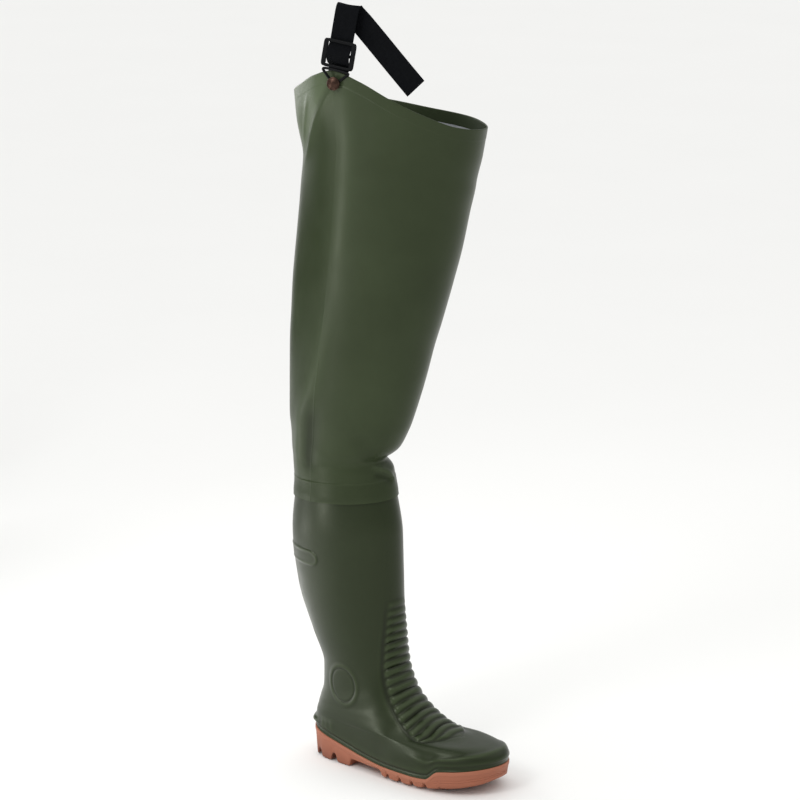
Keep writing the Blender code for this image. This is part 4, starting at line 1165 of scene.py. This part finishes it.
class WADER_OT_leg(bpy.types.Operator):
    """Coated thigh leg with its weld band, hem, folds and lining"""
    bl_idname = "wader.leg"
    bl_label = "Thigh leg"

    def execute(self, context):
        sizes, tints = context.scene.wader_sizes, context.scene.wader_colours
        beside = np.radians(SEAM_ANGLE + np.array(SEAM_COLUMNS)) % (2 * math.pi)
        even = np.linspace(0, 2 * math.pi, LEG_COLUMNS_ROUND, endpoint=False)
        columns = np.unique(np.append(even, beside))
        hem_from = RIM_BASE - sizes.hem_depth / MM
        rows = leg_rows(hem_from)
        angles = seam_angles(rows, columns)
        seam = seam_weld(rows, columns, hem_from)
        offset = leg_steps(rows, angles, hem_from, sizes) + sizes.seam_step / MM * seam
        bare = leg_surface(rows, angles)
        creases = crease_field(bare, LEG_CREASES, leg_surface)
        outer = leg_surface(rows, angles, offset + creases)
        # Painted highlights on ridges, painted shade in troughs and beside the knee ridge.
        tone = leg_tone(rows, angles, seam, creases) + crease_field(bare, LEG_SHADES, leg_surface)

        lining = JOINT_GAP - sizes.band_step / MM
        hem = lining - HEM_TURN
        half = (offset[-1] - hem) / 2
        tour = np.linspace(0, math.pi, 9)[1:-1, None]
        edge = creases[-1] + hem + half
        rim = leg_surface(RIM_BASE + half * np.sin(tour), columns, edge + half * np.cos(tour))
        depths = np.concatenate([[RIM_BASE, RIM_BASE - 6, hem_from + 1, hem_from],
                                 np.linspace(hem_from - 1.2, BAND_TOP + 3, 70),
                                 [BAND_TOP, BAND_TOP - 2, BAND_BOTTOM]])[:, None]
        below = np.where(depths > BAND_TOP - 1, lining, JOINT_GAP)
        inside = np.where(depths >= hem_from, hem, below)
        angles = seam_angles(depths, columns)
        bare = leg_surface(depths, angles)
        inner = leg_surface(depths, angles, inside + crease_field(bare, LEG_CREASES, leg_surface))

        points = np.concatenate([outer, rim, inner])
        away = np.abs(np.radians(turn_between(columns, SEAM_ANGLE)))
        tape = smooth((TAPE_HALF_WIDTH / (points[..., 2] * 0.08 + 20.0) - away) / 0.01)
        count, around = points.shape[:2]
        zone = np.where(np.arange(count) < len(outer) + len(rim) + 3, 0, 1)
        zone[-1] = 0
        plain = np.zeros((count - len(outer), around))
        shell = {"points": points, "quads": ring_quads(count, around, wrap_rows=True),
                 "zone": np.repeat(zone, around),
                 "values": {"tone": np.concatenate([tone, plain]), "tape": tape}}
        cloth = coated_cloth(tints.cloth, tints.cloth_deep, tints.cloth_pale, tints.cloth_highlight)
        jersey = jersey_lining(tints.lining, tints.lining_seam)
        add_piece("thigh_leg", [shell], [cloth, jersey], ["shaft"], sharp=55.0)
        return {"FINISHED"}


class WADER_OT_strap(bpy.types.Operator):
    """Webbing strap with its rivet"""
    bl_idname = "wader.strap"
    bl_label = "Strap and rivet"

    def execute(self, context):
        sizes, tints = context.scene.wader_sizes, context.scene.wader_colours
        at, path, side = strap_path(14)
        thick = sizes.webbing_thick / MM
        a, b = soft_box(sizes.webbing_width / MM / 2, thick / 2, 9.0, 48)
        shell = tube(path, (a, b), side, False)
        run = np.concatenate([[0], np.cumsum(np.linalg.norm(np.diff(path, axis=0), axis=1))]) * MM
        size = (len(path), len(a))
        shell["values"] = {"along": np.broadcast_to(run[:, None], size),
                           "across": np.broadcast_to(a * MM, size)}
        add_piece("webbing_strap", [shell], [woven_webbing(tints.webbing)], ["strap"], sharp=70.0)
        anchor = int(np.argmin(np.abs(at - RIVET_STATION)))
        flat = unit(np.cross(side, np.gradient(path, axis=0)))[anchor]
        behind = flat if flat @ OUT < 0 else -flat
        cap = lathe(RIVET, path[anchor] + behind * (thick / 2 + JOINT_GAP), behind, 48)
        nickel = plated_metal("nickel_plate", tints.nickel, tuple(0.5 * v for v in tints.nickel), 0.3, 0.5)
        add_piece("rivet", [cap], [nickel], ["rivet_cap"])
        return {"FINISHED"}


class WADER_OT_fittings(bpy.types.Operator):
    """Slide buckle, wire loop and button"""
    bl_idname = "wader.fittings"
    bl_label = "Slide, loop and button"

    def execute(self, context):
        sizes, tints = context.scene.wader_sizes, context.scene.wader_colours
        black = lacquered_steel(tints.lacquer)
        centre = local(*SLIDE_PLACE)
        tour = np.linspace(0, 2 * math.pi, 160, endpoint=False)
        c, s = np.cos(tour), np.sin(tour)
        reach = (SLIDE_WIDTH - SLIDE_SIDE) / 2, (SLIDE_HEIGHT - SLIDE_BAR) / 2
        ring = (centre + (reach[0] * np.sign(c) * np.abs(c) ** SLIDE_SQUARE)[:, None] * SLIDE_ALONG
                + (reach[1] * np.sign(s) * np.abs(s) ** SLIDE_SQUARE)[:, None] * SLIDE_UP)
        inward = unit(centre - ring)
        wide = SLIDE_BAR / 2 + SLIDE_SWELL * smooth((np.abs(c) - 0.5) / 0.3)[:, None]
        a, b = soft_box(1.0, SLIDE_THICK / 2, 4.0, 20)
        frame_shell = tube(ring, (wide * a, b), inward, True)
        bar = centre + np.linspace(-reach[0], reach[0], 30)[:, None] * SLIDE_ALONG
        bar_shell = tube(bar, soft_box(SLIDE_BAR / 2, SLIDE_THICK / 2, 4.0, 20), SLIDE_UP, False)
        add_piece("slide", [frame_shell, bar_shell], [black], ["slide_buckle"])
        along, up, outward = (closed_spline(LOOP[name], 180)[:, None] for name in ("along", "up", "out"))
        wire = SPOT + along * SLIDE_ALONG + up * SLIDE_UP + outward * OUT
        radius = sizes.wire_radius / MM
        shell = tube(wire, soft_box(radius, radius, 2.0, 16), np.broadcast_to(OUT, wire.shape), True)
        add_piece("wire_loop", [shell], [black], ["button_loop"])
        copper = plated_metal("antique_copper", tints.copper, tints.copper_dark, 0.38, 0.85)
        add_piece("button_cap", [lathe(BUTTON, SPOT, OUT, 64)], [copper], ["button"])
        return {"FINISHED"}


class WADER_OT_stage(bpy.types.Operator):
    """Floor, lights and camera"""
    bl_idname = "wader.stage"
    bl_label = "Stage"

    def execute(self, context):
        scene, stage = context.scene, context.scene.wader_stage
        half = FLOOR_HALF
        corners = [(-half, -half, 0), (half, -half, 0), (half, half, 0), (-half, half, 0)]
        floor = stage_object("floor", corners, [(0, 1, 2, 3)], floor_paint(stage.floor))

        world = bpy.data.worlds.new("studio")
        world.use_nodes = True
        background = world.node_tree.nodes["Background"]
        background.inputs["Color"].default_value = rgba(NO_TINT)
        background.inputs["Strength"].default_value = stage.room
        scene.world = world
        scene.view_settings.view_transform = "Standard"

        for name, values in LIGHTS.items():
            lamp = dict(zip(LIGHT_COLUMNS, values))
            data = bpy.data.lights.new(name, "AREA")
            data.energy, data.shape = getattr(stage, name + "_light"), "RECTANGLE"
            data.size, data.size_y = lamp["width"], lamp["tall"]
            light = bpy.data.objects.new(name, data)
            turn = math.radians(lamp["bearing"])
            level = Vector((math.cos(turn), math.sin(turn), 0.0)) * lamp["away"]
            back = level + Vector((0.0, 0.0, lamp["height"] - lamp["aim"]))
            light.location = Vector((STAGE_X, 0.0, lamp["aim"])) + back
            light.rotation_euler = back.to_track_quat("Z", "Y").to_euler()
            scene.collection.objects.link(light)
        data = bpy.data.lights.new("sky", "SUN")
        data.energy, data.angle = stage.sky, math.radians(SKY_ANGLE)
        scene.collection.objects.link(bpy.data.objects.new("sky", data))

        # Black flag over the low light, so that the thigh leg's back edge stays dark.
        posts = FLAG["posts"]
        turns = np.radians(np.linspace(FLAG["from"], FLAG["to"], posts))
        x, y = STAGE_X + FLAG["radius"] * np.cos(turns), FLAG["radius"] * np.sin(turns)
        foot = np.stack([x, y, np.full(posts, FLAG["bottom"])], -1)
        sheet = np.concatenate([foot, foot + [0, 0, FLAG["tall"]]]).tolist()
        faces = [(i, i + 1, i + posts + 1, i + posts) for i in range(posts - 1)]
        black = start("flag_cloth", Base_Color=rgba(FLAG_BLACK), Roughness=1.0)[0]
        flag = stage_object("flag", sheet, faces, black)
        flag.visible_camera = False

        data = bpy.data.cameras.new("camera")
        data.lens, data.sensor_width = stage.lens, SENSOR_WIDTH
        camera = bpy.data.objects.new("camera", data)
        x, y = stage.away * math.sin(stage.azimuth), -stage.away * math.cos(stage.azimuth)
        camera.location = (CAMERA_X + x, y, stage.height)
        camera.rotation_euler = (math.pi / 2 - stage.pitch, 0.0, stage.azimuth)
        scene.collection.objects.link(camera)
        scene.camera = camera
        return {"FINISHED"}


class WADER_PT_panel(bpy.types.Panel):
    """Sizes, colours and pieces of the thigh wader boot"""
    bl_idname = "WADER_PT_panel"
    bl_label = "Thigh wader boot"
    bl_space_type = "VIEW_3D"
    bl_region_type = "UI"
    bl_category = "Wader"

    def draw(self, context):
        for step in STEPS:
            self.layout.operator(step.bl_idname)
        for group in (context.scene.wader_sizes, context.scene.wader_colours, context.scene.wader_stage):
            box = self.layout.box()
            for name in group.__annotations__:
                box.prop(group, name)


GROUPS = {"wader_sizes": WaderSizes, "wader_colours": WaderColours, "wader_stage": WaderStage}
STEPS = (WADER_OT_boot, WADER_OT_sole, WADER_OT_leg, WADER_OT_strap, WADER_OT_fittings, WADER_OT_stage)


def register():
    """Registers the classes and hangs the property groups on the scene."""
    for group in (*GROUPS.values(), *STEPS, WADER_PT_panel):
        bpy.utils.register_class(group)
    for name, group in GROUPS.items():
        setattr(bpy.types.Scene, name, PointerProperty(type=group))


def unregister():
    """Takes the property groups off the scene and unregisters the classes."""
    for name in GROUPS:
        delattr(bpy.types.Scene, name)
    for group in reversed((*GROUPS.values(), *STEPS, WADER_PT_panel)):
        bpy.utils.unregister_class(group)


def main():
    """Registers the classes and makes every piece and the stage."""
    register()
    bpy.ops.wader.boot()
    bpy.ops.wader.sole()
    bpy.ops.wader.leg()
    bpy.ops.wader.strap()
    bpy.ops.wader.fittings()
    bpy.ops.wader.stage()


if __name__ == "__main__":
    main()
